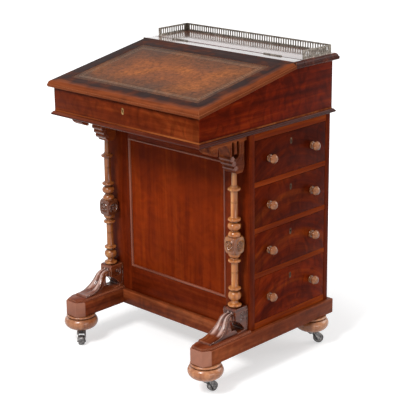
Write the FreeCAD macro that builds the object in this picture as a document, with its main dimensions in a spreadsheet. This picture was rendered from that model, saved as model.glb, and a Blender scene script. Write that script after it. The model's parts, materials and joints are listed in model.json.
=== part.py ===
"""Davenport desk: a writing slope over a pedestal of side drawers, with turned front supports on casters.

Frame: +Z is up and the floor is z = 0 under the middle of the desk. The writer sits on the -Y side,
and the four working drawers slide out on the +X side.
"""
import FreeCAD, Part
import Sketcher
import math
import os
import re

doc = FreeCAD.newDocument("davenport_desk")

# Driving dimensions, in millimetres and degrees
SIZES = {
    # Plan of the whole desk
    "lid_width": 562,
    "total_depth": 530,
    "overhang": 13,
    "kneehole_depth": 180,
    "pedestal_inset": 4,
    "pedestal_side_inset": 2,
    # Heights, from the floor up
    "caster_height": 46,
    "foot_height": 42,
    "runner_height": 41,
    "bottom_rail": 19,
    "deep_drawer_height": 123,
    "drawer_height": 109,
    "rail_height": 14,
    "top_rail": 21,
    "case_height": 159,
    # Clearances
    "fit_clearance": 0.1,
    "seat_gap": 0.3,
    "shadow_gap": 0.8,
    # Lid and fixed shelf
    "lid_thickness": 18,
    "slope_angle": 10.6,
    "flat_depth": 35,
    "shelf_depth": 140,
    "lid_gap": 1,
    "edge_ovolo": 9,
    "edge_step": 2,
    "edge_nose": 4,
    "frame_width": 49,
    "lid_tongue": 8,
    "lid_tongue_thickness": 6,
    "leather_thickness": 1.5,
    # Hinges of the lid
    "hinge_length": 60,
    "hinge_offset": 170,
    "knuckle_radius": 3,
    "hinge_pin_radius": 1.3,
    "leaf_height": 15,
    "leaf_thickness": 1.6,
    "knuckle_gap": 0.4,
    # Writing case
    "case_wall": 16,
    "case_floor_thickness": 14,
    "base_mould_height": 10,
    "base_mould_reach": 8,
    "base_mould_round": 4.5,
    # Pedestal frames and panels
    "frame_thickness": 20,
    "back_thickness": 18,
    "stile_width": 84,
    "frame_bottom_rail": 74,
    "frame_top_rail": 84,
    "panel_thickness": 10,
    "panel_setback": 5,
    "panel_tongue": 8,
    "tenon_length": 30,
    "tenon_thickness": 8,
    "tenon_shoulder": 12,
    "bead_width": 6,
    "bead_depth": 6,
    "bead_round": 2.5,
    "side_board": 10,
    "side_facing": 12,
    "rail_depth": 50,
    "bearer_width": 22,
    "floor_thickness": 12,
    # Drawers
    "drawer_front_thickness": 18,
    "drawer_side": 10,
    "drawer_bottom": 6,
    "bottom_raise": 8,
    "groove_depth": 5,
    "dovetail_lap": 5,
    "tail_root_share": 0.28,
    "tail_tip_share": 0.38,
    "drawer_back_gap": 30,
    "drawer_top_drop": 6,
    # Knobs and locks
    "knob_inset": 56,
    "knob_length": 25,
    "knob_base_radius": 10.3,
    "knob_base_length": 4,
    "knob_waist_radius": 6.5,
    "knob_waist_length": 9,
    "knob_head_radius": 12.2,
    "knob_head_length": 17,
    "knob_dome": 3.6,
    "knob_cove": 1,
    "spigot_radius": 4,
    "spigot_length": 13,
    "dummy_spigot": 10,
    "lock_width": 48,
    "lock_height": 34,
    "lock_depth": 9,
    "link_plate_width": 10,
    "escutcheon_height": 17,
    "escutcheon_width": 8,
    "escutcheon_thickness": 1.5,
    "keyhole_drop": 26,
    "case_lock_foot": 19,
    "case_lock_head": 9,
    "key_slot": 1.8,
    "key_slot_length": 4.5,
    "key_round": 3.6,
    # Sledge runners and plinth
    "runner_width": 67,
    "runner_projection": 10,
    "runner_setback": 3,
    "runner_tail": 14,
    "runner_cant_width": 13,
    "runner_cant_length": 23,
    "plinth_thickness": 31,
    "plinth_reach": 11,
    "plinth_tenon": 12,
    "plinth_tenon_cheek": 10,
    "plinth_tenon_shoulder": 8,
    "plinth_round": 6,
    # Bun feet
    "foot_inset_front": 35,
    "foot_inset_back": 51,
    "foot_base_radius": 26,
    "foot_belly_radius": 47,
    "foot_belly_height": 20,
    "foot_belly_swell": 6.2,
    "foot_waist_radius": 39,
    "foot_shoulder_swell": 2.1,
    "foot_ring_height": 8.5,
    "foot_ring_radius": 41,
    "foot_ring_round": 4,
    "dowel_radius": 9,
    "dowel_length": 22,
    # Casters
    "plate_radius": 18,
    "plate_thickness": 2.5,
    "pintle_radius": 3.5,
    "pintle_head_radius": 5.5,
    "pintle_head": 2,
    "boss_height": 9,
    "boss_radius": 11,
    "caster_trail": 22,
    "wheel_radius": 14,
    "wheel_width": 16,
    "wheel_crown": 1.2,
    "wheel_side_gap": 0.5,
    "wheel_top_gap": 3,
    "cheek_thickness": 3.5,
    "axle_radius": 2.5,
    "axle_eye": 6.5,
    "axle_eye_slant": 2,
    "fork_throat": 3,
    "bearing_gap": 0.08,
    "yaw_front_left": -45,
    "yaw_front_right": 85,
    "yaw_back_left": 110,
    "yaw_back_right": 70,
    # Turned columns
    "column_inset": 3.5,
    "column_standoff": 27,
    "column_spigot_radius": 5,
    "column_spigot": 14,
    "base_ring_height": 15,
    "ring_radius": 16.8,
    "ring_round": 5,
    "ring_height": 13,
    "bulb_radius": 17.2,
    "bulb_neck": 9,
    "lower_bulb_height": 30,
    "upper_bulb_height": 26,
    "shaft_radius": 9.2,
    "neck_radius": 6.4,
    "lower_shaft_share": 0.375,
    "upper_shaft_share": 0.405,
    "collar_radius": 16,
    "collar_height": 14,
    "collar_swell": 2.5,
    "block_width": 36,
    "block_height": 44,
    "block_end_radius": 23.5,
    "block_swell": 2.5,
    "roundel_radius": 15,
    "roundel_rise": 3,
    # Scroll knees under the columns
    "knee_height": 76,
    "knee_thickness": 44,
    "knee_block_depth": 47,
    "knee_shoulder": 6,
    "knee_collar": 14,
    "knee_crest": 16,
    "knee_flank_height": 20,
    "knee_bend_reach": 76,
    "knee_bend_height": 48,
    "knee_toe_reach": 138,
    "knee_toe_height": 12,
    "knee_swell": 5.6,
    "knee_sweep": 11,
    "knee_nose": 5,
    "eye_top_reach": 60,
    "eye_top_height": 47,
    "eye_tail_reach": 14,
    "eye_tail_height": 12,
    "eye_foot_reach": 40,
    "eye_foot_height": 8,
    "eye_side_reach": 60,
    "eye_side_height": 20,
    "eye_swell": 7,
    "eye_scroll": 5,
    "eye_lean": 3,
    # Pierced brackets over the columns
    "bracket_height": 95,
    "bracket_thickness": 40,
    "bracket_reach": 130,
    "bracket_tip": 24,
    "bracket_tip_length": 25,
    "bracket_tip_drop": 37,
    "bracket_tip_swell": 3,
    "bracket_arm": 15,
    "bracket_back": 10,
    "bracket_horn_reach": 74,
    "bracket_roll_reach": 60,
    "bracket_roll_drop": 48,
    "bracket_step_reach": 6,
    "bracket_step_drop": 13,
    "bracket_seat": 20,
    "bracket_heel": 33,
    "bracket_cove": 3,
    "bracket_swell": 4,
    "piercing_reach": 42,
    "piercing_span": 26,
    "piercing_top": 11,
    "piercing_foot": 47,
    "piercing_bow": 8,
    "piercing_rib": 10,
    "piercing_rib_end": 43,
    # Fitted nest in the well
    "nest_setback": 2,
    "nest_board": 6,
    "nest_drawer_height": 44,
    "inner_gap": 0.5,
    "inner_front": 9,
    "inner_side": 6,
    "inner_bottom": 4,
    "inner_back_gap": 6,
    "inner_knob_radius": 6.5,
    "inner_knob_neck": 3.5,
    "inner_knob_length": 14,
    "inner_knob_head": 7,
    "inner_knob_stem": 3.5,
    "inner_knob_dome": 1.6,
    "inner_spigot_radius": 2.5,
    # Brass gallery
    "gallery_height": 22,
    "gallery_thickness": 1.6,
    "gallery_inset": 16,
    "gallery_setback": 9,
    "gallery_rail": 4,
    "gallery_post": 8,
    "slot_width": 5,
    "slot_pitch": 8.5,
    "slot_corner": 1.8,
}

sheet = doc.addObject("Spreadsheet::Sheet", "Sizes")
for row, (alias, size) in enumerate(SIZES.items(), start=1):
    sheet.set(f"A{row}", alias)
    sheet.set(f"B{row}", str(size))
    sheet.setAlias(f"B{row}", alias)
doc.recompute()

WORD = re.compile(r"[a-z_]+")
QUARTER = 1 - math.sqrt(0.5)  # sagitta of a quarter turn, as a share of its radius
NODES = []


# Ways to make and place a piece
def formula(text):
    """Write a formula over size names as one over the sheet's cells."""
    return WORD.sub(lambda word: f"Sizes.{word[0]}" if word[0] in SIZES else word[0], text)


def number(text):
    return float(sheet.evalExpression(formula(text)))


def bind(thing, member, text):
    thing.setExpression(member, formula(text))


def move(thing, x, y, z):
    for axis, text in zip("xyz", (x, y, z)):
        bind(thing, f"Placement.Base.{axis}", text)
    return thing


def turn(thing, axis, angle):
    thing.Placement = FreeCAD.Placement(FreeCAD.Vector(), FreeCAD.Rotation(FreeCAD.Vector(*axis), 1))
    bind(thing, "Placement.Rotation.Angle", angle)
    return thing


def board(name, x, y, z):
    """A squared board between two limits on each axis."""
    box = doc.addObject("Part::Box", name)
    for member, (low, high) in zip(("Length", "Width", "Height"), (x, y, z)):
        bind(box, member, f"({high}) - ({low})")
    return move(box, x[0], y[0], z[0])


def rod(name, along, radius, length, x, y, z):
    """A round rod that starts at a point and runs along +X, +Y or +Z."""
    cylinder = doc.addObject("Part::Cylinder", name)
    if along == "x":
        turn(cylinder, (0, 1, 0), "90")
    if along == "y":
        turn(cylinder, (1, 0, 0), "-90")
    bind(cylinder, "Radius", radius)
    bind(cylinder, "Height", length)
    return move(cylinder, x, y, z)


def joined(kind, name, pieces):
    made = doc.addObject(kind, name)
    if kind == "Part::Compound":
        made.Links = list(pieces)
    else:
        made.Shapes = list(pieces)
    return made


def fuse(name, *pieces):
    return joined("Part::MultiFuse", name, pieces)


def common(name, *pieces):
    return joined("Part::MultiCommon", name, pieces)


def cut(name, base, *tools):
    made = doc.addObject("Part::Cut", name)
    made.Base = base
    made.Tool = tools[0] if len(tools) == 1 else fuse(f"{name}_tools", *tools)
    return made


def node(label, *pieces):
    """Name a sub-part; several separate solids share one node as a group."""
    piece = pieces[0] if len(pieces) == 1 else joined("Part::Compound", label, pieces)
    piece.Label = label
    NODES.append(piece)
    return piece


def arc_centre(start, stop, rise, side):
    """Centre of an arc from its chord and its rise over it; side 1 turns left, and -1 turns right."""
    across, up = f"(({stop[0]}) - ({start[0]}))", f"(({stop[1]}) - ({start[1]}))"
    chord = f"sqrt({across}^2 + {up}^2)"
    offset = f"{side}*({chord}/(8*({rise})) - ({rise})/(2*{chord}))"
    return (f"(({start[0]}) + ({stop[0]}))/2 - {up}*{offset}",
            f"(({start[1]}) + ({stop[1]}))/2 + {across}*{offset}")


def arc(start, stop, centre, side):
    first, last = (start, stop) if side > 0 else (stop, start)
    angles = [math.atan2(point.y - centre.y, point.x - centre.x) for point in (first, last)]
    circle = Part.Circle(centre, FreeCAD.Vector(0, 0, 1), (start - centre).Length)
    return Part.ArcOfCircle(circle, *angles)


def draw(sketch, loop):
    """Draw a closed loop; a corner is (x, y), or (x, y, rise, side) where an arc leads to it."""
    def point(corner):
        return FreeCAD.Vector(number(corner[0]), number(corner[1]), 0)

    def hold(way, geometry, end, text):
        place = sketch.addConstraint(Sketcher.Constraint(way, -1, 1, geometry, end, number(text)))
        bind(sketch, f"Constraints[{place}]", text)

    first = sketch.GeometryCount
    ends = []
    centres = []
    for index, corner in enumerate(loop):
        start, stop = point(loop[index - 1]), point(corner)
        centre = arc_centre(loop[index - 1], corner, *corner[2:]) if len(corner) > 2 else None
        if centre:
            sketch.addGeometry(arc(start, stop, point(centre), corner[3]))
        else:
            sketch.addGeometry(Part.LineSegment(start, stop))
        ends.append((2, 1) if centre and corner[3] < 0 else (1, 2))
        centres.append(centre)
    for index, corner in enumerate(loop):
        following = (index + 1) % len(loop)
        here, end = first + index, ends[index][1]
        meeting = (here, end, first + following, ends[following][0])
        sketch.addConstraint(Sketcher.Constraint("Coincident", *meeting))
        hold("DistanceX", here, end, corner[0])
        hold("DistanceY", here, end, corner[1])
        if centres[index]:
            chord = point(corner) - point(loop[index - 1])
            flat = abs(chord.x) > abs(chord.y)
            hold("DistanceY" if flat else "DistanceX", here, 3, centres[index][1 if flat else 0])


def sketched(name, plane, loops):
    """A body with one sketch on one of its own origin planes."""
    body = doc.addObject("PartDesign::Body", name)
    sketch = body.newObject("Sketcher::SketchObject", f"{name}_outline")
    support = [feature for feature in body.Origin.OriginFeatures if feature.Role == plane][0]
    sketch.AttachmentSupport = [(support, "")]
    sketch.MapMode = "FlatFace"
    for loop in loops:
        draw(sketch, loop)
    return body, sketch


def prism(name, plane, loops, length):
    """An outline padded by a length: +Z from XY, -Y from XZ, +X from YZ."""
    body, sketch = sketched(name, plane, loops)
    pad = body.newObject("PartDesign::Pad", f"{name}_pad")
    pad.Profile = sketch
    bind(pad, "Length", length)
    return body


def turned(name, loop, axis="V_Axis"):
    """An outline in the XZ plane turned about the Z axis, or about X with H_Axis."""
    body, sketch = sketched(name, "XZ_Plane", [loop])
    round_piece = body.newObject("PartDesign::Revolution", f"{name}_turning")
    round_piece.Profile = sketch
    round_piece.ReferenceAxis = (sketch, [axis])
    round_piece.Angle = 360
    return body


def rounded(body, radius, chosen):
    """Round the edges of a body that the test picks."""
    doc.recompute()
    base = body.Tip
    names = [f"Edge{count}" for count, edge in enumerate(base.Shape.Edges, start=1) if chosen(edge)]
    fillet = body.newObject("PartDesign::Fillet", f"{body.Name}_round")
    fillet.Base = (base, names)
    bind(fillet, "Radius", radius)
    return body


def stadium(x, y, width, height):
    """An upright slot with round ends, centred on a point."""
    left, right = f"({x}) - ({width})/2", f"({x}) + ({width})/2"
    low, high = f"({y}) - ({height})/2 + ({width})/2", f"({y}) + ({height})/2 - ({width})/2"
    rise = f"({width})/2"
    return [(right, high), (left, high, rise, 1), (left, low), (right, low, rise, 1)]


def mirrored(text, side):
    return text if side > 0 else f"-({text})"


def span(low, high, side):
    """Limits of a piece, given for the +X side and mirrored for the other."""
    return (low, high) if side > 0 else (f"-({high})", f"-({low})")


def corners(x, low, high, inset="0"):
    """Corners of a rectangle astride the middle plane, set in by a margin."""
    left, right = f"-{x} + {inset}", f"{x} - {inset}"
    near, far = f"{low} + {inset}", f"{high} - {inset}"
    return [(left, near), (right, near), (right, far), (left, far)]


SIDES = (("left", -1), ("right", 1))

# Levels and faces that the pieces share
foot_top = "(caster_height + foot_height)"
runner_top = f"({foot_top} + runner_height)"
case_x = "(lid_width/2 - overhang)"
case_front = "(-total_depth/2 + overhang)"
case_back = "(total_depth/2 - overhang)"
pedestal_x = f"({case_x} - pedestal_side_inset)"
pedestal_front = f"({case_front} + kneehole_depth)"
pedestal_back = f"({case_back} - pedestal_inset)"
front_inner = f"({pedestal_front} + frame_thickness)"
back_inner = f"({pedestal_back} - back_thickness)"
board_inner = f"({pedestal_x} - side_facing - side_board)"
drawer_centre = f"(({front_inner} + {back_inner})/2)"

drawer_levels = []
level = f"({runner_top} + bottom_rail)"
for height in ("deep_drawer_height", "drawer_height", "drawer_height", "drawer_height"):
    drawer_levels.insert(0, (level, f"({level} + {height})"))
    level = f"({level} + {height} + rail_height)"
drawers_top = drawer_levels[0][1]
case_floor = f"({drawers_top} + top_rail)"
case_floor_top = f"({case_floor} + case_floor_thickness)"
desk_top = f"({case_floor} + case_height)"
shelf_under = f"({desk_top} - lid_thickness)"
joint_y = "(total_depth/2 - shelf_depth)"
apex_y = f"({joint_y} - flat_depth)"
runner_outer = f"({pedestal_x} + runner_projection)"
runner_inner = f"({runner_outer} - runner_width)"
runner_middle = f"({runner_outer} - runner_width/2)"
runner_front = f"({case_front} + runner_setback)"
runner_back = f"({pedestal_back} + runner_tail)"
foot_places = {
    "front": f"({runner_front} + foot_inset_front)",
    "back": f"({runner_back} - foot_inset_back)",
}

# Plinth rails, tenoned between the runners
plinth_faces = {
    "front": (f"{pedestal_front} - plinth_reach", f"{pedestal_front} - plinth_reach + plinth_thickness"),
    "back": (f"{pedestal_back} + plinth_reach - plinth_thickness", f"{pedestal_back} + plinth_reach"),
}
plinth_rails = []
plinth_tenons = []
for place, (near, far) in plinth_faces.items():
    rise = f"{QUARTER}*plinth_round"
    if place == "front":
        outline = [(far, foot_top), (far, runner_top), (f"{near} + plinth_round", runner_top),
                   (near, f"{runner_top} - plinth_round", rise, 1), (near, foot_top)]
    else:
        outline = [(near, foot_top), (far, foot_top), (far, f"{runner_top} - plinth_round"),
                   (f"{far} - plinth_round", runner_top, rise, 1), (near, runner_top)]
    rail = prism(f"plinth_{place}_rail", "YZ_Plane", [outline], f"2*{runner_inner}")
    move(rail, f"-{runner_inner}", "0", "0")
    tenon_y = (f"{near} + plinth_tenon_cheek", f"{far} - plinth_tenon_cheek")
    tenon_z = (f"{foot_top} + plinth_tenon_shoulder", f"{runner_top} - plinth_tenon_shoulder")
    tenon_x = (f"-{runner_inner} - plinth_tenon", f"{runner_inner} + plinth_tenon")
    tenon = board(f"plinth_{place}_tenon", tenon_x, tenon_y, tenon_z)
    plinth_tenons.append(tenon)
    plinth_rails.append(fuse(f"plinth_{place}", rail, tenon))
node("plinth_rails", *plinth_rails)

# Sledge runners with canted front ends
for hand, side in SIDES:
    left, right = span(runner_inner, runner_outer, side)
    outline = [(f"{left} + runner_cant_width", runner_front),
               (f"{right} - runner_cant_width", runner_front),
               (right, f"{runner_front} + runner_cant_length"), (right, runner_back), (left, runner_back),
               (left, f"{runner_front} + runner_cant_length")]
    blank = move(prism(f"runner_{hand}_blank", "XY_Plane", [outline], "runner_height"), "0", "0", foot_top)
    sockets = []
    for place, y in foot_places.items():
        sockets.append(rod(f"runner_{hand}_{place}_socket", "z", "dowel_radius + fit_clearance",
                           "dowel_length", mirrored(runner_middle, side), y, foot_top))
    node(f"runner_{hand}", cut(f"runner_{hand}", blank, *sockets, *plinth_tenons))

# Turned bun feet with dowels into the runners
feet = []
for hand, side in SIDES:
    for place, y in foot_places.items():
        bun_top = f"{foot_top} - foot_ring_height"
        ring_inner = "foot_ring_radius - foot_ring_round"
        dowel_top = f"{foot_top} + dowel_length"
        outline = [("0", "caster_height"), ("foot_base_radius", "caster_height"),
                   ("foot_belly_radius", "caster_height + foot_belly_height", "foot_belly_swell", 1),
                   ("foot_waist_radius", bun_top, "foot_shoulder_swell", 1), (ring_inner, bun_top),
                   (ring_inner, foot_top, "foot_ring_round", 1), ("dowel_radius", foot_top),
                   ("dowel_radius", dowel_top), ("0", dowel_top)]
        foot = turned(f"foot_{place}_{hand}", outline)
        feet.append(move(foot, mirrored(runner_middle, side), y, "0"))
node("bun_feet", *feet)

# Casters: a plate with its pintle under each foot, a swivel fork with its axle, and a wheel
plates = []
plate_under = "(caster_height - plate_thickness)"
boss_top = f"({plate_under} - seat_gap)"
boss_under = f"({boss_top} - boss_height)"
head_top = f"({boss_under} - seat_gap)"
fork_width = "(wheel_width + 2*wheel_side_gap + 2*cheek_thickness)"
for hand, side in SIDES:
    for place, y in foot_places.items():
        x = mirrored(runner_middle, side)
        name = f"{place}_{hand}"
        yaw = f"yaw_{name}"
        outline = [("0", "caster_height"), ("0", f"{head_top} - pintle_head"),
                   ("pintle_head_radius", f"{head_top} - pintle_head"), ("pintle_head_radius", head_top),
                   ("pintle_radius", head_top), ("pintle_radius", plate_under),
                   ("plate_radius", plate_under), ("plate_radius", "caster_height")]
        plates.append(move(turned(f"plate_{name}", outline), x, y, "0"))
        cheek = [("-boss_radius", boss_under), ("fork_throat", boss_under),
                 ("caster_trail - axle_eye", "wheel_radius - axle_eye_slant"),
                 ("caster_trail + axle_eye", "wheel_radius + axle_eye_slant", "axle_eye", 1),
                 ("boss_radius", boss_top), ("-boss_radius", boss_top)]
        cheeks = move(prism(f"cheeks_{name}", "XZ_Plane", [cheek], fork_width), "0", f"{fork_width}/2", "0")
        half_gap = "(wheel_width/2 + wheel_side_gap)"
        roof = "(2*wheel_radius + wheel_top_gap)"
        slot = board(f"wheel_slot_{name}", ("caster_trail - wheel_radius - wheel_top_gap",
                                            "caster_trail + 2*wheel_radius"),
                     (f"-{half_gap}", half_gap), ("0", roof))
        head_room = rod(f"head_room_{name}", "z", "pintle_head_radius + seat_gap", boss_under, "0", "0", "0")
        bore = rod(f"pintle_bore_{name}", "z", "pintle_radius + bearing_gap", "caster_height", "0", "0", "0")
        axle_hole = rod(f"axle_hole_{name}", "y", "axle_radius", fork_width,
                        "caster_trail", f"-{fork_width}/2", "wheel_radius")
        fork = cut(f"fork_{name}", cheeks, slot, head_room, bore, axle_hole)
        axle = rod(f"axle_{name}", "y", "axle_radius", fork_width,
                   "caster_trail", f"-{fork_width}/2", "wheel_radius")
        fork_group = joined("Part::Compound", f"caster_fork_{name}", (fork, axle))
        node(f"caster_fork_{name}", move(turn(fork_group, (0, 0, 1), yaw), x, y, "0"))
        bush = "axle_radius + bearing_gap"
        edge = "wheel_radius - wheel_crown"
        tread = [("-wheel_width/2", bush), ("wheel_width/2", bush),
                 ("wheel_width/2", edge), ("-wheel_width/2", edge, "wheel_crown", 1)]
        wheel = turned(f"tread_{name}", tread, "H_Axis")
        turn(wheel, (0, 0, 1), f"{yaw} + 90")
        move(wheel, f"{x} + caster_trail*cos({yaw})", f"{y} + caster_trail*sin({yaw})", "wheel_radius")
        node(f"caster_wheel_{name}", wheel)
node("caster_plates", *plates)


# Framed and panelled front and back of the pedestal
def panelled_frame(name, face, inward, thickness):
    """Two stiles, two tenoned rails and a panel held in their grooves."""
    def depth(near, far):
        if inward > 0:
            return f"{face} + {near}", f"{face} + {far}"
        return f"{face} - ({far})", f"{face} - ({near})"

    opening_x = f"({pedestal_x} - stile_width)"
    whole = depth("0", thickness)
    tenon_y = depth(f"{thickness}/2 - tenon_thickness/2", f"{thickness}/2 + tenon_thickness/2")
    panel = board(f"{name}_panel", (f"-{opening_x} - panel_tongue", f"{opening_x} + panel_tongue"),
                  depth("panel_setback", "panel_setback + panel_thickness"),
                  (f"{runner_top} + frame_bottom_rail - panel_tongue",
                   f"{case_floor} - frame_top_rail + panel_tongue"))
    rails = []
    tenons = []
    for place, low, high in (("bottom", runner_top, f"{runner_top} + frame_bottom_rail"),
                             ("top", f"{case_floor} - frame_top_rail", case_floor)):
        rail = board(f"{name}_{place}_rail", (f"-{opening_x}", opening_x), whole, (low, high))
        tenon = board(f"{name}_{place}_tenon",
                      (f"-{opening_x} - tenon_length", f"{opening_x} + tenon_length"), tenon_y,
                      (f"{low} + tenon_shoulder", f"{high} - tenon_shoulder"))
        tenons.append(tenon)
        rails.append(cut(f"{name}_{place}", fuse(f"{name}_{place}_blank", rail, tenon), panel))
    stiles = []
    for hand, side in SIDES:
        blank = board(f"{name}_{hand}_blank", span(opening_x, pedestal_x, side), whole,
                      (runner_top, case_floor))
        stiles.append(cut(f"{name}_{hand}", blank, panel, *tenons))
    node(f"{name}_frame", *stiles, *rails)
    node(f"{name}_panel", panel)


panelled_frame("front", pedestal_front, 1, "frame_thickness")
panelled_frame("back", pedestal_back, -1, "back_thickness")

# Mitred bead round the front panel
bead_x = f"({pedestal_x} - stile_width)"
bead_low = f"({runner_top} + frame_bottom_rail)"
bead_high = f"({case_floor} - frame_top_rail)"
outer_corners = corners(bead_x, bead_low, bead_high)
inner_corners = corners(bead_x, bead_low, bead_high, "bead_width")
beads = []
for index, place in enumerate(("bottom", "right", "top", "left")):
    after = (index + 1) % 4
    outline = [outer_corners[index], outer_corners[after], inner_corners[after], inner_corners[index]]
    bead = prism(f"bead_{place}", "XZ_Plane", [outline], "bead_depth")
    rounded(bead, "bead_round",
            lambda edge: edge.BoundBox.YMax < 0 and edge.Length > number("frame_bottom_rail"))
    beads.append(move(bead, "0", f"{pedestal_front} + panel_setback", "0"))
node("front_bead", *beads)

# Floor, drawer rails, bearers and the dummy drawer side of the pedestal
between_frames = (front_inner, back_inner)
behind_rails = (f"-{board_inner}", f"{pedestal_x} - rail_depth")
node("pedestal_floor", board("pedestal_floor", behind_rails, between_frames,
                             (runner_top, f"{runner_top} + floor_thickness")))
node("left_side_board", board("left_side_board", (f"-{pedestal_x} + side_facing", f"-{board_inner}"),
                              between_frames, (runner_top, case_floor)))
rail_levels = [(drawers_top, case_floor)]
for upper, lower in zip(drawer_levels, drawer_levels[1:]):
    rail_levels.append((lower[1], upper[0]))
rail_levels.append((runner_top, drawer_levels[-1][0]))
rails = []
for count, levels in enumerate(rail_levels):
    rails.append(board(f"drawer_rail_{count}", (f"{pedestal_x} - rail_depth", pedestal_x),
                       between_frames, levels))
    rails.append(board(f"dummy_rail_{count}", (f"-{pedestal_x}", f"-{pedestal_x} + side_facing"),
                       between_frames, levels))
node("side_rails", *rails)
bearers = []
for count, (low, high) in enumerate(rail_levels[1:], start=1):
    under = f"{runner_top} + floor_thickness" if count == len(drawer_levels) else low
    bearers.append(board(f"bearer_front_{count}", behind_rails,
                         (front_inner, f"{front_inner} + bearer_width"), (under, high)))
    bearers.append(board(f"bearer_back_{count}", behind_rails,
                         (f"{back_inner} - bearer_width", back_inner), (under, high)))
node("drawer_bearers", *bearers)


# Drawers, with lapped dovetails, turned knobs and a lock each
def knob(name, side, spigot, y, z):
    """A turned mushroom knob with its spigot, pointing out of one side."""
    outline = [(f"-({spigot})", "0"), ("knob_length", "0"),
               ("knob_head_length", "knob_head_radius", "knob_dome", 1),
               ("knob_waist_length", "knob_waist_radius", "knob_cove", -1),
               ("knob_base_length", "knob_base_radius", "knob_cove", -1), ("0", "knob_base_radius"),
               ("0", "spigot_radius"), (f"-({spigot})", "spigot_radius")]
    piece = turned(name, outline, "H_Axis")
    if side < 0:
        turn(piece, (0, 0, 1), "180")
    return move(piece, mirrored(pedestal_x, side), y, z)


def knob_places():
    return (("front", f"{front_inner} + knob_inset"), ("back", f"{back_inner} - knob_inset"))


def keyhole():
    half = "key_slot/2"
    return [(f"-{half}", "-key_slot_length"), (half, "-key_slot_length"), (half, "0"),
            (f"-{half}", "0", "key_round", 1)]


def escutcheon_outline():
    return stadium("0", "0", "escutcheon_width", "escutcheon_height")


def dovetailed_side(name, z_low, z_high, x_back, x_root, x_tip):
    """A drawer side with three tails at its front end."""
    tails = 3
    pitch = f"(({z_high}) - ({z_low}))/{tails}"
    outline = [(x_back, z_low), (x_root, z_low)]
    for count in range(tails):
        middle = f"({z_low} + {pitch}*{count + 0.5})"
        root, tip = f"{pitch}*tail_root_share", f"{pitch}*tail_tip_share"
        outline += [(x_root, f"{middle} - {root}"), (x_tip, f"{middle} - {tip}"),
                    (x_tip, f"{middle} + {tip}"), (x_root, f"{middle} + {root}")]
    outline += [(x_root, z_high), (x_back, z_high)]
    return prism(name, "XZ_Plane", [outline], "drawer_side")


def drawer(name, low, high):
    z_low, z_high = f"({low} + seat_gap)", f"({high} - shadow_gap)"
    z_mid = f"({low} + {high})/2"
    y_near, y_far = f"({front_inner} + shadow_gap)", f"({back_inner} - shadow_gap)"
    x_root = f"({pedestal_x} - drawer_front_thickness)"
    x_tip = f"({pedestal_x} - dovetail_lap)"
    x_back = f"(-{board_inner} + drawer_back_gap)"
    z_rim = f"({z_high} - drawer_top_drop)"
    floor_low = f"({z_low} + bottom_raise)"
    floor_high = f"({floor_low} + drawer_bottom)"
    inner_near, inner_far = f"{y_near} + drawer_side", f"{y_far} - drawer_side"
    bottom = board(f"{name}_bottom", (x_back, f"{x_root} + groove_depth"),
                   (f"{inner_near} - groove_depth", f"{inner_far} + groove_depth"), (floor_low, floor_high))
    blanks = []
    sides = []
    for place, y in (("near", inner_near), ("far", y_far)):
        blank = dovetailed_side(f"{name}_{place}_blank", z_low, z_rim, x_back, x_root, x_tip)
        blanks.append(move(blank, "0", y, "0"))
        sides.append(cut(f"{name}_{place}", blank, bottom))
    back = board(f"{name}_back", (x_back, f"{x_back} + drawer_side"), (inner_near, inner_far),
                 (floor_high, z_rim))
    node(f"{name}_box", *sides, back, bottom)
    knobs = []
    holes = []
    for place, y in knob_places():
        knobs.append(knob(f"{name}_knob_{place}", 1, "spigot_length", y, z_mid))
        holes.append(rod(f"{name}_hole_{place}", "x", "spigot_radius + fit_clearance", "spigot_length",
                         f"{pedestal_x} - spigot_length", y, z_mid))
    node(f"{name}_knobs", *knobs)
    key_z = f"{high} - keyhole_drop"
    lock_case = board(f"{name}_lock_case", (x_root, f"{x_root} + lock_depth"),
                      (f"{drawer_centre} - lock_width/2", f"{drawer_centre} + lock_width/2"),
                      (f"{z_high} - lock_height", z_high))
    plate_x = f"{pedestal_x} - escutcheon_thickness"
    plate = prism(f"{name}_escutcheon", "YZ_Plane", [escutcheon_outline(), keyhole()], "escutcheon_thickness")
    recess = prism(f"{name}_recess", "YZ_Plane", [escutcheon_outline()], "escutcheon_thickness")
    for piece in (plate, recess):
        move(piece, plate_x, drawer_centre, key_z)
    key_hole = rod(f"{name}_key_hole", "x", "key_round/2", "drawer_front_thickness",
                   x_root, drawer_centre, key_z)
    node(f"{name}_lock", lock_case, plate)
    blank = board(f"{name}_front_blank", (x_root, pedestal_x), (y_near, y_far), (z_low, z_high))
    node(f"{name}_front", cut(f"{name}_front", blank, *blanks, bottom, *holes, lock_case, recess, key_hole))


for count, (low, high) in enumerate(drawer_levels, start=1):
    drawer(f"drawer_{count}", low, high)

dummy_fronts = []
dummy_knobs = []
for count, (low, high) in enumerate(drawer_levels, start=1):
    z_mid = f"({low} + {high})/2"
    blank = board(f"dummy_{count}_blank", (f"-{pedestal_x}", f"-{pedestal_x} + side_facing"),
                  (f"{front_inner} + shadow_gap", f"{back_inner} - shadow_gap"),
                  (f"{low} + shadow_gap", f"{high} - shadow_gap"))
    holes = []
    for place, y in knob_places():
        dummy_knobs.append(knob(f"dummy_knob_{count}_{place}", -1, "dummy_spigot", y, z_mid))
        holes.append(rod(f"dummy_hole_{count}_{place}", "x", "spigot_radius + fit_clearance", "dummy_spigot",
                         f"-{pedestal_x}", y, z_mid))
    dummy_fronts.append(cut(f"dummy_front_{count}", blank, *holes))
node("dummy_fronts", *dummy_fronts)
node("dummy_knobs", *dummy_knobs)


# Carved front supports: scroll knee, turned column and pierced bracket on each side
column_x = f"({runner_middle} - column_inset)"
column_y = f"({pedestal_front} - column_standoff)"
knee_top = f"({runner_top} + knee_height)"
bracket_under = f"({case_floor} - bracket_height)"


def on_knee(reach, height, *curve):
    return (f"{pedestal_front} - ({reach})", f"{runner_top} + ({height})", *curve)


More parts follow.
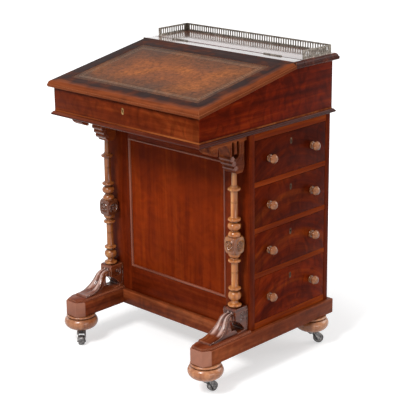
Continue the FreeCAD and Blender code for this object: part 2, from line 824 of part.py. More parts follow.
def on_bracket(reach, drop, *curve):
    return (f"{pedestal_front} - ({reach})", f"{case_floor} - ({drop})", *curve)


def knee(name, x):
    """A block under the column, with a pierced leaf that thins towards its crest."""
    outline = [on_knee("0", "0"), on_knee("0", "knee_height"),
               on_knee("knee_block_depth - knee_shoulder", "knee_height"),
               on_knee("knee_block_depth", "knee_height - knee_shoulder", f"knee_shoulder*{QUARTER}", 1),
               on_knee("knee_block_depth", "knee_height - knee_collar"),
               on_knee("knee_bend_reach", "knee_bend_height", "knee_swell", 1),
               on_knee("knee_toe_reach", "knee_toe_height", "knee_sweep", -1),
               on_knee("knee_toe_reach", "0", "knee_nose", 1)]
    eye = [on_knee("eye_top_reach", "eye_top_height", "eye_lean", -1),
           on_knee("eye_tail_reach", "eye_tail_height", "eye_swell", -1),
           on_knee("eye_foot_reach", "eye_foot_height"),
           on_knee("eye_side_reach", "eye_side_height", "eye_scroll", 1)]
    blank = prism(f"{name}_blank", "YZ_Plane", [outline, eye], "knee_thickness")
    move(blank, f"{x} - knee_thickness/2", "0", "0")
    flanks = []
    for hand, side in SIDES:
        crest, cheek = f"{x} + {side}*knee_crest/2", f"{x} + {side}*knee_thickness/2"
        clear = f"{x} + {side}*knee_thickness"
        foot = f"{runner_top} + knee_flank_height"
        wedge = prism(f"{name}_{hand}_flank", "XZ_Plane",
                      [[(crest, knee_top), (cheek, foot), (clear, foot), (clear, knee_top)]], "knee_toe_reach")
        flanks.append(move(wedge, "0", f"{pedestal_front} - knee_block_depth", "0"))
    socket = rod(f"{name}_socket", "z", "column_spigot_radius + fit_clearance", "column_spigot",
                 x, column_y, f"{knee_top} - column_spigot")
    return cut(name, blank, *flanks, socket)


def bracket(name, x):
    """A bowl with a rib in its opening, reeded in front, under an arm with a hanging tip."""
    seat_far = "column_standoff + bracket_seat/2"
    seat_near = "column_standoff - bracket_seat/2"
    tip_back = "bracket_reach - bracket_tip_length"
    outline = [on_bracket("bracket_back", "bracket_height - bracket_heel", "bracket_swell", 1),
               on_bracket("bracket_back", "bracket_arm"), on_bracket("0", "bracket_arm"), on_bracket("0", "0"),
               on_bracket("bracket_reach", "0"), on_bracket("bracket_reach", "bracket_tip"),
               on_bracket(tip_back, "bracket_tip_drop", "bracket_tip_swell", 1),
               on_bracket(tip_back, "bracket_arm"), on_bracket("bracket_horn_reach", "bracket_arm"),
               on_bracket("bracket_roll_reach", "bracket_roll_drop", "bracket_cove", -1)]
    for step in (1, 2, 3):
        outline.append(on_bracket(f"bracket_roll_reach - {step}*bracket_step_reach",
                                  f"bracket_roll_drop + {step}*bracket_step_drop", "bracket_swell", 1))
    outline += [on_bracket(seat_far, "bracket_height"), on_bracket(seat_near, "bracket_height")]
    near, far = "piercing_reach - piercing_span/2", "piercing_reach + piercing_span/2"
    rib_near, rib_far = "piercing_reach - piercing_rib/2", "piercing_reach + piercing_rib/2"
    opening = [on_bracket(far, "piercing_top"), on_bracket(far, "piercing_foot"),
               on_bracket(near, "piercing_foot", "piercing_bow", 1), on_bracket(near, "piercing_top"),
               on_bracket(rib_near, "piercing_top"), on_bracket(rib_near, "piercing_rib_end"),
               on_bracket(rib_far, "piercing_rib_end"), on_bracket(rib_far, "piercing_top")]
    blank = prism(f"{name}_blank", "YZ_Plane", [outline, opening], "bracket_thickness")
    move(blank, f"{x} - bracket_thickness/2", "0", "0")
    socket = rod(f"{name}_socket", "z", "column_spigot_radius + fit_clearance", "column_spigot",
                 x, column_y, bracket_under)
    return cut(name, blank, socket)


def column(name, x):
    """Rings, bulbs and shafts turned about a square block with a roundel on each face."""
    length = f"({bracket_under} - {knee_top})"
    rings, collars = 4, 2
    fixed = (f"base_ring_height - {rings}*ring_height - {collars}*collar_height"
             " - lower_bulb_height - upper_bulb_height - block_height")
    plain = f"({length} - {fixed})"
    neck_share = "(1 - lower_shaft_share - upper_shaft_share)"
    spigot = "column_spigot_radius"
    profile = [("0", "-column_spigot"), (spigot, "-column_spigot"), (spigot, "0")]
    height = "0"

    def add(radius, tall, *swell, upper=None):
        nonlocal height
        if profile[-1][:2] != (radius, height):
            profile.append((radius, height))
        height = f"({height} + {tall})"
        profile.append((upper or radius, height, *swell))

    def ring(tall="ring_height"):
        add("(ring_radius - ring_round)", tall, "ring_round", 1)

    def bulb(tall):
        add("bulb_neck", tall, "bulb_radius - bulb_neck", 1)

    ring("base_ring_height")
    bulb("lower_bulb_height")
    ring()
    add("shaft_radius", f"{plain}*lower_shaft_share")
    ring()
    add("bulb_neck", "collar_height", "collar_swell", 1, upper="collar_radius")
    block_middle = f"{knee_top} + {height} + block_height/2"
    add("block_end_radius", "block_height", "block_swell", 1)
    add("collar_radius", "collar_height", "collar_swell", 1, upper="bulb_neck")
    bulb("upper_bulb_height")
    ring()
    add("shaft_radius", f"{plain}*upper_shaft_share")
    ring()
    add("neck_radius", f"{plain}*{neck_share}")
    spigot_top = f"{height} + column_spigot"
    profile.extend([(spigot, height), (spigot, spigot_top), ("0", spigot_top)])
    round_blank = move(turned(f"{name}_turning", profile), x, column_y, knee_top)
    square = board(f"{name}_square", (f"{x} - block_width/2", f"{x} + block_width/2"),
                   (f"{column_y} - block_width/2", f"{column_y} + block_width/2"),
                   (f"{knee_top} - column_spigot", f"{bracket_under} + column_spigot"))
    half = "(block_width/2 + roundel_rise)"
    roundels = [rod(f"{name}_side_roundel", "x", "roundel_radius", f"2*{half}",
                    f"{x} - {half}", column_y, block_middle),
                rod(f"{name}_front_roundel", "y", "roundel_radius", f"2*{half}",
                    x, f"{column_y} - {half}", block_middle)]
    return fuse(name, common(f"{name}_turned", round_blank, square), *roundels)


for label, maker in (("scroll_knees", knee), ("columns", column), ("pierced_brackets", bracket)):
    node(label, *[maker(f"{label}_{hand}", mirrored(column_x, side)) for hand, side in SIDES])

# Writing case: floor, mitred walls that follow the lid, and a base moulding
node("case_floor", board("case_floor", (f"-{case_x}", case_x), (case_front, case_back),
                         (case_floor, case_floor_top)))


def lid_under(y):
    """Height of the lid's underside, less its seat gap, at a depth on the slope."""
    return (f"({desk_top} - lid_thickness/cos(slope_angle) - seat_gap"
            f" + (({y}) - {apex_y})*tan(slope_angle))")


def plan_wedge(name, near, far, low, tall):
    """A trapezoid in plan, whose slanted ends are mitres."""
    wedge = prism(name, "XY_Plane", [[near[0], near[1], far[1], far[0]]], tall)
    return move(wedge, "0", "0", low)


wall_outer = corners(case_x, case_front, case_back)
wall_inner = corners(case_x, case_front, case_back, "case_wall")
break_y = f"{apex_y} + lid_thickness*tan(slope_angle/2)"
wall_profile = [(case_front, case_floor_top), (case_back, case_floor_top), (case_back, shelf_under),
                (break_y, shelf_under), (case_front, lid_under(case_front))]
walls = {}
for index, place in enumerate(("front", "right", "back", "left")):
    after = (index + 1) % 4
    wedge = plan_wedge(f"wall_{place}_plan", (wall_outer[index], wall_outer[after]),
                       (wall_inner[index], wall_inner[after]), case_floor_top, "case_height")
    sloped = prism(f"wall_{place}_profile", "YZ_Plane", [wall_profile], f"2*{case_x}")
    move(sloped, f"-{case_x}", "0", "0")
    walls[place] = common(f"wall_{place}", wedge, sloped)

lock_z = (f"{case_floor_top} + case_lock_foot", f"{lid_under(case_front)} - case_lock_head")
key_z = f"(({lock_z[0]}) + ({lock_z[1]}))/2"
lock_case = board("case_lock_box", ("-lock_width/2", "lock_width/2"),
                  (f"{case_front} + case_wall - lock_depth", f"{case_front} + case_wall"), lock_z)
plate = prism("case_escutcheon", "XZ_Plane", [escutcheon_outline(), keyhole()], "escutcheon_thickness")
recess = prism("case_recess", "XZ_Plane", [escutcheon_outline()], "escutcheon_thickness")
for piece in (plate, recess):
    move(piece, "0", f"{case_front} + escutcheon_thickness", key_z)
key_hole = rod("case_key_hole", "y", "key_round/2", "case_wall", "0", case_front, key_z)
node("case_lock", lock_case, plate)
node("case_front", cut("case_front", walls["front"], lock_case, recess, key_hole))
node("case_sides", walls["left"], walls["right"])
node("case_back", walls["back"])

mould_outer = corners(case_x, case_front, case_back, "(-base_mould_reach)")
mouldings = []
for index, place in enumerate(("front", "right", "back", "left")):
    after = (index + 1) % 4
    strip = plan_wedge(f"base_mould_{place}", (mould_outer[index], mould_outer[after]),
                       (wall_outer[index], wall_outer[after]), case_floor, "base_mould_height")
    outer_length = number(f"2*({case_x} + base_mould_reach)" if index % 2 == 0
                          else f"{case_back} - {case_front} + 2*base_mould_reach")
    rounded(strip, "base_mould_round", lambda edge: abs(edge.Length - outer_length) < 0.01)
    mouldings.append(strip)
node("case_moulding", *mouldings)


# Fitted nest at the back of the well: pigeonholes over two small drawers
well_x = f"({case_x} - case_wall)"
well_back = f"({case_back} - case_wall)"
nest_front = f"({joint_y} + nest_setback)"
nest_level = f"({case_floor_top} + nest_drawer_height)"
pigeonholes = 4
nest_y = (nest_front, well_back)
nest_boards = [
    board("nest_shelf", (f"-{well_x}", well_x), nest_y, (nest_level, f"{nest_level} + nest_board")),
    board("nest_middle", ("-nest_board/2", "nest_board/2"), nest_y, (case_floor_top, nest_level)),
]
for count in range(1, pigeonholes):
    middle = f"-{well_x} + {count}*2*{well_x}/{pigeonholes}"
    upright_x = (f"{middle} - nest_board/2", f"{middle} + nest_board/2")
    nest_boards.append(board(f"nest_upright_{count}", upright_x, nest_y,
                             (f"{nest_level} + nest_board", shelf_under)))
node("inner_nest", *nest_boards)


def inner_drawer(name, side):
    """A small drawer that pulls forward into the well."""
    low, high = "nest_board/2 + inner_gap", f"{well_x} - inner_gap"
    front_back = f"({nest_front} + inner_front)"
    back = f"({well_back} - inner_back_gap)"
    z_low, z_high = f"({case_floor_top} + seat_gap)", f"({nest_level} - inner_gap)"
    z_rim = f"({z_high} - inner_bottom)"
    inner_x = span(f"{low} + inner_side", f"{high} - inner_side", side)
    y_box = (front_back, back)
    x, z = mirrored(f"({low} + {high})/2", side), f"({z_low} + {z_high})/2"
    outline = [("-inner_front", "0"), ("inner_knob_length", "0"),
               ("inner_knob_head", "inner_knob_radius", "inner_knob_dome", 1),
               ("inner_knob_stem", "inner_knob_neck"), ("0", "inner_knob_neck"),
               ("0", "inner_spigot_radius"), ("-inner_front", "inner_spigot_radius")]
    pull = move(turn(turned(f"{name}_knob", outline, "H_Axis"), (0, 0, 1), "-90"), x, nest_front, z)
    hole = rod(f"{name}_hole", "y", "inner_spigot_radius + fit_clearance", "inner_front", x, nest_front, z)
    blank = board(f"{name}_front_blank", span(low, high, side), (nest_front, front_back), (z_low, z_high))
    pieces = [cut(f"{name}_front", blank, hole), pull,
              board(f"{name}_near", span(low, f"{low} + inner_side", side), y_box, (z_low, z_rim)),
              board(f"{name}_far", span(f"{high} - inner_side", high, side), y_box, (z_low, z_rim)),
              board(f"{name}_bottom", inner_x, y_box, (z_low, f"{z_low} + inner_bottom")),
              board(f"{name}_back", inner_x, (f"{back} - inner_side", back),
                    (f"{z_low} + inner_bottom", z_rim))]
    node(name, *pieces)


for hand, side in SIDES:
    inner_drawer(f"inner_drawer_{hand}", side)


# Moulded boards of the top: the fixed shelf, the lid's flat strip and its framed slope
def moulded_end(tip, sign):
    """Edge profile from the underside up: round nose, small step and ovolo."""
    rise = f"{QUARTER}*edge_nose"
    corners = [(f"{tip} - edge_nose", "-lid_thickness"), (tip, "-lid_thickness + edge_nose", rise, 1),
               (tip, "-edge_ovolo"), (f"{tip} - edge_step", "-edge_ovolo"),
               (f"{tip} - edge_step - edge_ovolo", "0", f"{QUARTER}*edge_ovolo", 1)]
    if sign > 0:
        return corners
    flipped = [(f"-({corner[0]})", corner[1]) for corner in reversed(corners)]
    flipped[1] = (*flipped[1], f"{QUARTER}*edge_ovolo", 1)
    flipped[4] = (*flipped[4], rise, 1)
    return flipped


def moulded_across(name, length, y):
    """A board moulded on both ends, running back from y towards -Y."""
    half = "lid_width/2"
    loop = moulded_end(half, 1) + moulded_end(half, -1)
    return move(prism(name, "XZ_Plane", [loop], length), "0", y, "0")


def along_width(name, loop):
    return move(prism(name, "YZ_Plane", [loop], "lid_width"), "-lid_width/2", "0", "0")


def place_flat(piece, y):
    return move(piece, "0", y, desk_top)


def place_on_slope(piece):
    return move(turn(piece, (1, 0, 0), "slope_angle"), "0", apex_y, desk_top)


# Hinges in the joint between lid and shelf, with their knuckles on the top surface
third = "(hinge_length/3)"
fixed_leaves = []
lid_leaves = []
knuckle_rooms = []
leaf_gains = {"fixed": [], "lid": []}
for hand, side in SIDES:
    start = f"{mirrored('hinge_offset', side)} - hinge_length/2"
    knuckle_rooms.append(rod(f"knuckle_room_{hand}", "x", "knuckle_radius + knuckle_gap",
                             "hinge_length + 2*knuckle_gap", f"{start} - knuckle_gap", joint_y, desk_top))
    bore = rod(f"hinge_bore_{hand}", "x", "hinge_pin_radius + fit_clearance", "hinge_length",
               start, joint_y, desk_top)
    for owner, segments, sign in (("fixed", (0, 2), 1), ("lid", (1,), -1)):
        face = f"({joint_y} + {sign}*lid_gap/2)"
        leaf_y = (face, f"{face} + leaf_thickness")
        if sign < 0:
            leaf_y = (f"{face} - leaf_thickness", face)
        leaf = board(f"{owner}_leaf_{hand}", (start, f"{start} + hinge_length"), leaf_y,
                     (f"{desk_top} - leaf_height", f"{desk_top} - knuckle_radius - knuckle_gap"))
        leaf_gains[owner].append(leaf)
        pieces = [leaf]
        for segment in segments:
            from_x = f"{start} + {segment}*{third} + knuckle_gap/2"
            tall = f"{third} - knuckle_gap"
            pieces.append(rod(f"{owner}_knuckle_{hand}_{segment}", "x", "knuckle_radius", tall,
                              from_x, joint_y, desk_top))
            web = board(f"{owner}_web_{hand}_{segment}", (from_x, f"{from_x} + {tall}"), leaf_y,
                        (f"{desk_top} - knuckle_radius - knuckle_gap", desk_top))
            leaf_gains[owner].append(web)
            pieces.append(web)
        hinge_leaf = cut(f"{owner}_hinge_{hand}", fuse(f"{owner}_hinge_{hand}_blank", *pieces), bore)
        (fixed_leaves if owner == "fixed" else lid_leaves).append(hinge_leaf)
    fixed_leaves.append(rod(f"hinge_pin_{hand}", "x", "hinge_pin_radius", "hinge_length",
                            start, joint_y, desk_top))
node("fixed_hinges", *fixed_leaves)

shelf_front = f"({joint_y} + lid_gap/2)"
shelf_loop = [(shelf_front, "-lid_thickness"), *moulded_end("total_depth/2", 1), (shelf_front, "0")]
shelf_blank = common("shelf_blank", moulded_across("shelf_across", "shelf_depth", "total_depth/2"),
                     along_width("shelf_along", shelf_loop))
place_flat(shelf_blank, "0")
node("top_shelf", cut("top_shelf", shelf_blank, *leaf_gains["fixed"], *knuckle_rooms))

bevel = "lid_thickness*tan(slope_angle/2)"
strip_back = "flat_depth - lid_gap/2"
strip_loop = [(bevel, "-lid_thickness"), (strip_back, "-lid_thickness"), (strip_back, "0"), ("0", "0")]
strip_blank = common("lid_strip_blank", moulded_across("strip_across", "flat_depth", "flat_depth"),
                     along_width("strip_along", strip_loop))
place_flat(strip_blank, apex_y)
node("lid_hinge_rail", cut("lid_hinge_rail", strip_blank, *leaf_gains["lid"], *knuckle_rooms))

slope_length = f"(({apex_y} + total_depth/2 + edge_ovolo*sin(slope_angle))/cos(slope_angle))"
slope_front = moulded_end(slope_length, -1)
slope_loop = [(f"-{bevel}", "-lid_thickness"), ("0", "0"), *slope_front]
slope_blank = common("lid_slope_blank", moulded_across("slope_across", slope_length, "0"),
                     along_width("slope_along", slope_loop))
panel_x = "(lid_width/2 - frame_width)"
panel_front = f"-({slope_length} - frame_width)"
panel_back = "-frame_width"
tongue = board("lid_tongue_board", (f"-{panel_x} - lid_tongue", f"{panel_x} + lid_tongue"),
               (f"{panel_front} - lid_tongue", f"{panel_back} + lid_tongue"),
               ("-lid_thickness/2 - lid_tongue_thickness/2", "-lid_thickness/2 + lid_tongue_thickness/2"))
core = board("lid_core", (f"-{panel_x}", panel_x), (panel_front, panel_back),
             ("-lid_thickness", "-leather_thickness"))
node("lid_panel", place_on_slope(fuse("lid_panel", core, tongue)))

link_y = f"-({apex_y} - {case_front} - case_wall/2)/cos(slope_angle)"
link_board = board("link_recess", ("-lock_width/2", "lock_width/2"),
                   (f"{link_y} - link_plate_width/2", f"{link_y} + link_plate_width/2"),
                   ("-lid_thickness", "-lid_thickness + escutcheon_thickness"))
frame_outer = corners("lid_width/2", f"-{slope_length}", "0")
frame_inner = corners(panel_x, panel_front, panel_back)
members = []
for index, place in enumerate(("front", "right", "back", "left")):
    after = (index + 1) % 4
    wedge = plan_wedge(f"lid_{place}_plan", (frame_outer[index], frame_outer[after]),
                       (frame_inner[index], frame_inner[after]), "-lid_thickness", "lid_thickness")
    member = common(f"lid_{place}_blank", slope_blank, wedge)
    tools = (tongue, link_board) if place == "front" else (tongue,)
    members.append(place_on_slope(cut(f"lid_{place}_member", member, *tools)))
node("lid_frame", *members)

leather = prism("leather_sheet", "XY_Plane", [frame_inner], "leather_thickness")
skin = joined("Part::Compound", "leather_inset", (move(leather, "0", "0", "-leather_thickness"),))
node("leather", place_on_slope(skin))
link_plate = place_on_slope(joined("Part::Compound", "link_plate", (link_board,)))
node("lid_brassware", *lid_leaves, link_plate)


# Pierced brass gallery round the back and ends of the shelf
def gallery_strip(name, length):
    """An upright strip along +X with a row of slots between its rails."""
    outline = [("0", "0"), (length, "0"), (length, "gallery_height"), ("0", "gallery_height")]
    body, sketch = sketched(name, "XZ_Plane", [outline])
    pad = body.newObject("PartDesign::Pad", f"{name}_pad")
    pad.Profile = sketch
    bind(pad, "Length", "gallery_thickness")
    slots = max(1, int((number(length) - 2 * number("gallery_post")) / number("slot_pitch")))
    middle = f"({length})/2"
    first = f"{middle} - {slots - 1}*slot_pitch/2"
    left, right = f"{first} - slot_width/2", f"{first} + slot_width/2"
    low, high = "gallery_rail", "gallery_height - gallery_rail"
    inner_left, inner_right = f"{left} + slot_corner", f"{right} - slot_corner"
    inner_low, inner_high = f"{low} + slot_corner", f"{high} - slot_corner"
    loop = [(inner_left, low), (inner_right, low), (right, inner_low), (right, inner_high),
            (inner_right, high), (inner_left, high), (left, inner_high), (left, inner_low)]
    slot_sketch = body.newObject("Sketcher::SketchObject", f"{name}_slot_outline")
    support = [feature for feature in body.Origin.OriginFeatures if feature.Role == "XZ_Plane"][0]
    slot_sketch.AttachmentSupport = [(support, "")]
    slot_sketch.MapMode = "FlatFace"
    draw(slot_sketch, loop)
    doc.recompute()
    solid = pad.Shape.Volume
    pocket = body.newObject("PartDesign::Pocket", f"{name}_slot")
    pocket.Profile = slot_sketch
    bind(pocket, "Length", "gallery_thickness")
    pocket.Reversed = True
    doc.recompute()
    if pocket.Shape.Volume >= solid:
        raise RuntimeError(f"{name}: the first slot cut nothing")
    pattern = body.newObject("PartDesign::LinearPattern", f"{name}_slots")
    pattern.Originals = [pocket]
    pattern.Direction = (slot_sketch, ["H_Axis"])
    bind(pattern, "Length", f"{slots - 1}*slot_pitch")
    pattern.Occurrences = slots
    body.Tip = pattern
    return body


gallery_x = "(lid_width/2 - gallery_inset)"
gallery_back = "(total_depth/2 - gallery_inset)"
gallery_front = f"({joint_y} + gallery_setback)"
strips = [move(gallery_strip("gallery_rear", f"2*{gallery_x}"), f"-{gallery_x}", gallery_back, desk_top)]
return_length = f"{gallery_back} - gallery_thickness - {gallery_front}"
for hand, side in SIDES:
    strip = turn(gallery_strip(f"gallery_{hand}", return_length), (0, 0, 1), "90")
    inner_face = mirrored(gallery_x, side) if side < 0 else f"{gallery_x} - gallery_thickness"
    strips.append(move(strip, inner_face, gallery_front, desk_top))
node("gallery", *strips)

# Check every object and write one file for each sub-part
doc.recompute()
for thing in doc.Objects:
    if "Invalid" in thing.State or "Error" in thing.State:
        raise RuntimeError(f"{thing.Name} failed: {thing.State}")
os.makedirs("parts", exist_ok=True)
for piece in NODES:
    if piece.Shape.isNull() or not piece.Shape.isValid():
        raise RuntimeError(f"{piece.Label} has no valid shape")
for piece in NODES:
    piece.Shape.exportStep(f"parts/{piece.Label}.step")
print(len(NODES), "sub-parts written")
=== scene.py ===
"""Looks of a small davenport desk: polished mahogany, turned and carved supports, worn leather and old brass.

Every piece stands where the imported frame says, in metres; +Z is up and the writer sits on the -Y side.
"""
import copy
import json
import math

import bmesh
import bpy
import numpy as np
from mathutils import Matrix, Vector
from mathutils.geometry import interpolate_bezier


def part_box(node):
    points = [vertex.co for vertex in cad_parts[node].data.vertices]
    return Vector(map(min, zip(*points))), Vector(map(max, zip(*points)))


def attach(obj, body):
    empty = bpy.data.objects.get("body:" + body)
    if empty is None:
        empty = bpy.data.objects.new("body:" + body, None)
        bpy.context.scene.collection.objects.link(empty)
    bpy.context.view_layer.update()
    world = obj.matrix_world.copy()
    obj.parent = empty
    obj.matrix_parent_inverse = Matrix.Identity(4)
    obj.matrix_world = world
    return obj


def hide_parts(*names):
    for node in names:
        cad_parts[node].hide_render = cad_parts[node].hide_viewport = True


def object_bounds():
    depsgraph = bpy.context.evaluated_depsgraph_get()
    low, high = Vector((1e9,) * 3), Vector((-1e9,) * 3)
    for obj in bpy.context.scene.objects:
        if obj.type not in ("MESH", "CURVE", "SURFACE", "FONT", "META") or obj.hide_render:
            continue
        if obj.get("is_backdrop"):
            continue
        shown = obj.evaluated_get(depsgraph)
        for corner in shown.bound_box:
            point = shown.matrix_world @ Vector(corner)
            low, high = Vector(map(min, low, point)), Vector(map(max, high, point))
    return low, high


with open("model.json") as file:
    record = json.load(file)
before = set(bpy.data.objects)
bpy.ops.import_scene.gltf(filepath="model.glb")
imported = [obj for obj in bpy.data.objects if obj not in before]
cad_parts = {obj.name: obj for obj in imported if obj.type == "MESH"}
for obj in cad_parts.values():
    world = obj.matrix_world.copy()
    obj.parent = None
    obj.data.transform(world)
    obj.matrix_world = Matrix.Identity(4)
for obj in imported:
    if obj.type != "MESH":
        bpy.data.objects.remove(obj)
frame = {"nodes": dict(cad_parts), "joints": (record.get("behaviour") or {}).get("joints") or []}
cad_low, cad_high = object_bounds()
MM = 0.001


# Casters: four iron plates, horned forks and small wheels, cast and filed, now dull and dark with age.
# A plate is screwed under each foot and its pintle is riveted through the fork, and the wheel turns
# on the fork's axle.
class Finish:
    """A surface finish, built up in layers; a socket fed with a layer is linked to it."""

    def __init__(self, name, **fixed):
        self.material = bpy.data.materials.new(name)
        self.material.use_nodes = True
        self.tree = self.material.node_tree
        self.surface = self.tree.nodes["Principled BSDF"]
        for socket, value in fixed.items():
            self.surface.inputs[socket.replace("_", " ")].default_value = value

    def layer(self, kind, sockets, output=0, **settings):
        node = self.tree.nodes.new(f"ShaderNode{kind}")
        for name, value in settings.items():
            setattr(node, name, value)
        for socket, value in sockets.items():
            if isinstance(value, bpy.types.NodeSocket):
                self.tree.links.new(value, node.inputs[socket])
            else:
                node.inputs[socket].default_value = value
        return node.outputs[output]

    def lay(self, along):
        """Coordinates whose x runs with the grain: a piece's own, or the frame's turned to an axis."""
        if along == "own":
            return self.layer("Attribute", {}, 1, attribute_name="grain")
        turn = {"x": (0, 0, 0), "y": (0, 0, -math.pi / 2), "z": (0, math.pi / 2, 0)}[along]
        return self.layer("Mapping", {"Vector": self.layer("TexCoord", {}, 3), "Rotation": turn})

    def plume(self, centre, bend):
        """Coordinates that arch over a centre line in y, as the figure of a crotch veneer does."""
        seen = self.layer("TexCoord", {}, 3)
        x, y, z = (self.layer("SeparateXYZ", {0: seen}, axis) for axis in range(3))
        off = self.reckon("SUBTRACT", y, centre)
        arch = self.reckon("ADD", z, self.reckon("MULTIPLY", self.reckon("MULTIPLY", off, off), bend))
        return self.layer("CombineXYZ", {0: off, 1: arch, 2: x})

    def cloud(self, place, stretch, detail=4.0, warp=0.0):
        stretched = self.layer("Mapping", {"Vector": place, "Scale": stretch})
        sockets = {"Vector": stretched, "Scale": 1.0, "Detail": detail, "Distortion": warp}
        return self.layer("TexNoise", sockets)

    def tones(self, share, *stops):
        node = self.tree.nodes.new("ShaderNodeValToRGB")
        elements = node.color_ramp.elements
        while len(elements) < len(stops):
            elements.new(0.5)
        for element, (position, colour) in zip(elements, stops):
            element.position = position
            element.color = colour
        self.tree.links.new(share, node.inputs[0])
        return node.outputs[0]

    def spread(self, value, low, high, to_low=0.0, to_high=1.0):
        limits = {"From Min": low, "From Max": high, "To Min": to_low, "To Max": to_high}
        return self.layer("MapRange", {"Value": value, **limits})

    def reckon(self, operation, first, second):
        return self.layer("Math", {0: first, 1: second}, operation=operation)

    def blend(self, share, first, second, way="MIX"):
        return self.layer("Mix", {0: share, 6: first, 7: second}, 2, data_type="RGBA", blend_type=way)

    def weighed(self, first, weight, second):
        """Two patterns added, by the weight of the first."""
        rest = self.reckon("MULTIPLY", second, 1 - weight)
        return self.reckon("ADD", self.reckon("MULTIPLY", first, weight), rest)

    def dappled(self, colour, level):
        """A colour made darker or lighter by a level."""
        grey = self.layer("CombineXYZ", {0: level, 1: level, 2: level})
        return self.blend(1.0, colour, grey, "MULTIPLY")

    def mark(self, name):
        """A number that each point of the mesh carries."""
        return self.layer("Attribute", {}, 2, attribute_name=name)

    def arris(self, radius):
        """Share of edge colour, greatest along sharp outer edges: wear, and on some pieces painted highlight.
        """
        soft = self.layer("Bevel", {"Radius": radius}, samples=4)
        hard = self.layer("NewGeometry", {}, 1)
        facing = self.layer("VectorMath", {0: soft, 1: hard}, 1, operation="DOT_PRODUCT")
        bend = self.spread(facing, 0.99, 0.82)
        return self.reckon("MULTIPLY", bend, self.opening(radius * 3))

    def opening(self, distance):
        """Share of open air over the surface, which is least in hollows."""
        return self.layer("AmbientOcclusion", {"Distance": distance}, 1, samples=4)

    def done(self, colour, roughness, height, depth):
        bump = self.layer("Bump", {"Height": height, "Strength": 1.0, "Distance": depth})
        for socket, value in (("Base Color", colour), ("Roughness", roughness), ("Normal", bump)):
            self.tree.links.new(value, self.surface.inputs[socket])
        return self.material


def shade(red, green, blue, strength=1.0):
    """A colour as the eye sees it, from 0 to 255, as the light that it returns."""
    light = (((part / 255 + 0.055) / 1.055) ** 2.4 * strength for part in (red, green, blue))
    return (*light, 1.0)


def old_metal(name, dark, plain, bright, smooth, rough):
    """Cast or rolled metal with blotches of tarnish, dark hollows and rubbed edges."""
    finish = Finish(name, Metallic=1.0)
    dark, plain, bright = (shade(*tone) for tone in (dark, plain, bright))
    place = finish.lay("x")
    blotches = finish.cloud(place, (160, 160, 160), 6)
    colour = finish.tones(blotches, (0.3, dark), (0.55, plain), (0.8, bright))
    colour = finish.blend(finish.reckon("MULTIPLY", finish.arris(0.8 * MM), 0.7), colour, bright)
    hollow_darkening = finish.spread(finish.opening(6 * MM), 0.75, 0.25)
    colour = finish.blend(finish.reckon("MULTIPLY", hollow_darkening, 0.8), colour, dark)
    roughness = finish.spread(blotches, 0.3, 0.75, rough, smooth)
    grit = finish.cloud(place, (900, 900, 900), 3)
    return finish.done(colour, roughness, grit, 0.1 * MM)


def dress(finish, *nodes):
    """Give a finish to pieces that keep the shape they have in the frame."""
    for node in nodes:
        materials = frame["nodes"][node].data.materials
        materials.clear()
        materials.append(finish)


class Stock:
    """Points and faces of one piece of stock, with coordinates that run along its grain."""

    def __init__(self, points, faces, along=2):
        self.points = np.array(points, float)
        self.faces = [tuple(face) for face in faces]
        self.grain = np.roll(self.points, -along, axis=1)
        self.reach = np.zeros(len(self.points))

    def placed(self, matrix):
        moved = copy.copy(self)
        turn = np.array(matrix.to_3x3())
        moved.points = self.points @ turn.T + np.array(matrix.translation)
        return moved


def put(name, data):
    """A new object, set down in the scene."""
    thing = bpy.data.objects.new(name, data)
    bpy.context.scene.collection.objects.link(thing)
    return thing


def make(name, stocks, body, finish, nodes, crease=35):
    """Join stocks into one object that rides on a body and stands for nodes of the frame."""
    cut_from = np.array((0.37, 0.53, 0.71))
    points, faces, grain, reach = [], [], [], []
    for count, stock in enumerate(stocks):
        first = sum(len(part) for part in points)
        points.append(stock.points)
        faces += [tuple(first + corner for corner in face) for face in stock.faces]
        grain.append(stock.grain + count * cut_from)
        reach.append(stock.reach)
    mesh = bpy.data.meshes.new(name)
    mesh.from_pydata(np.concatenate(points).tolist(), [], faces)
    marks = ("grain", "FLOAT_VECTOR", "vector", grain), ("reach", "FLOAT", "value", reach)
    for title, kind, key, values in marks:
        mesh.attributes.new(title, kind, "POINT").data.foreach_set(key, np.concatenate(values).ravel())
    work = bmesh.new()
    work.from_mesh(mesh)
    bmesh.ops.recalc_face_normals(work, faces=work.faces)
    work.to_mesh(mesh)
    work.free()
    mesh.shade_smooth()
    mesh.set_sharp_from_angle(angle=math.radians(crease))
    mesh.materials.append(finish)
    piece = put(name, mesh)
    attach(piece, body)
    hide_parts(*nodes)
    return piece


def bow(start, stop, rise, steps=10):
    """Points of an arc after its start, bulging outwards on the way up by its rise."""
    (across, up), chord = (stop[0] - start[0], stop[1] - start[1]), math.dist(start, stop)
    half = 2 * math.atan(2 * rise / chord)
    radius = chord / (2 * math.sin(half))
    points = []
    for step in range(1, steps + 1):
        angle = half * (2 * step / steps - 1)
        along = 0.5 + radius * math.sin(angle) / chord
        out = radius * (math.cos(angle) - math.cos(half)) / chord
        points.append((start[0] + across * along + up * out, start[1] + up * along - across * out))
    return points


def turned(profile, steps=72):
    """A profile of (radius, height) turned about the z axis; off the axis it closes on itself."""
    points, rings, faces = [], [], []
    for radius, height in profile:
        count = steps if radius > 1e-6 else 1
        rings.append([len(points) + step for step in range(count)])
        for step in range(count):
            angle = 2 * math.pi * step / steps
            points.append((radius * math.cos(angle), radius * math.sin(angle), height))
    closed = len(rings[0]) > 1
    for low, high in zip(rings, rings[1:] + (rings[:1] if closed else [])):
        for step in range(steps):
            after = (step + 1) % steps
            ends = ((low, step), (low, after), (high, after), (high, step))
            corners = tuple(dict.fromkeys(ring[place % len(ring)] for ring, place in ends))
            if len(corners) > 2:
                faces.append(corners)
    return Stock(points, faces)


def millimetres(profile):
    return [(radius * MM, height * MM) for radius, height in profile]


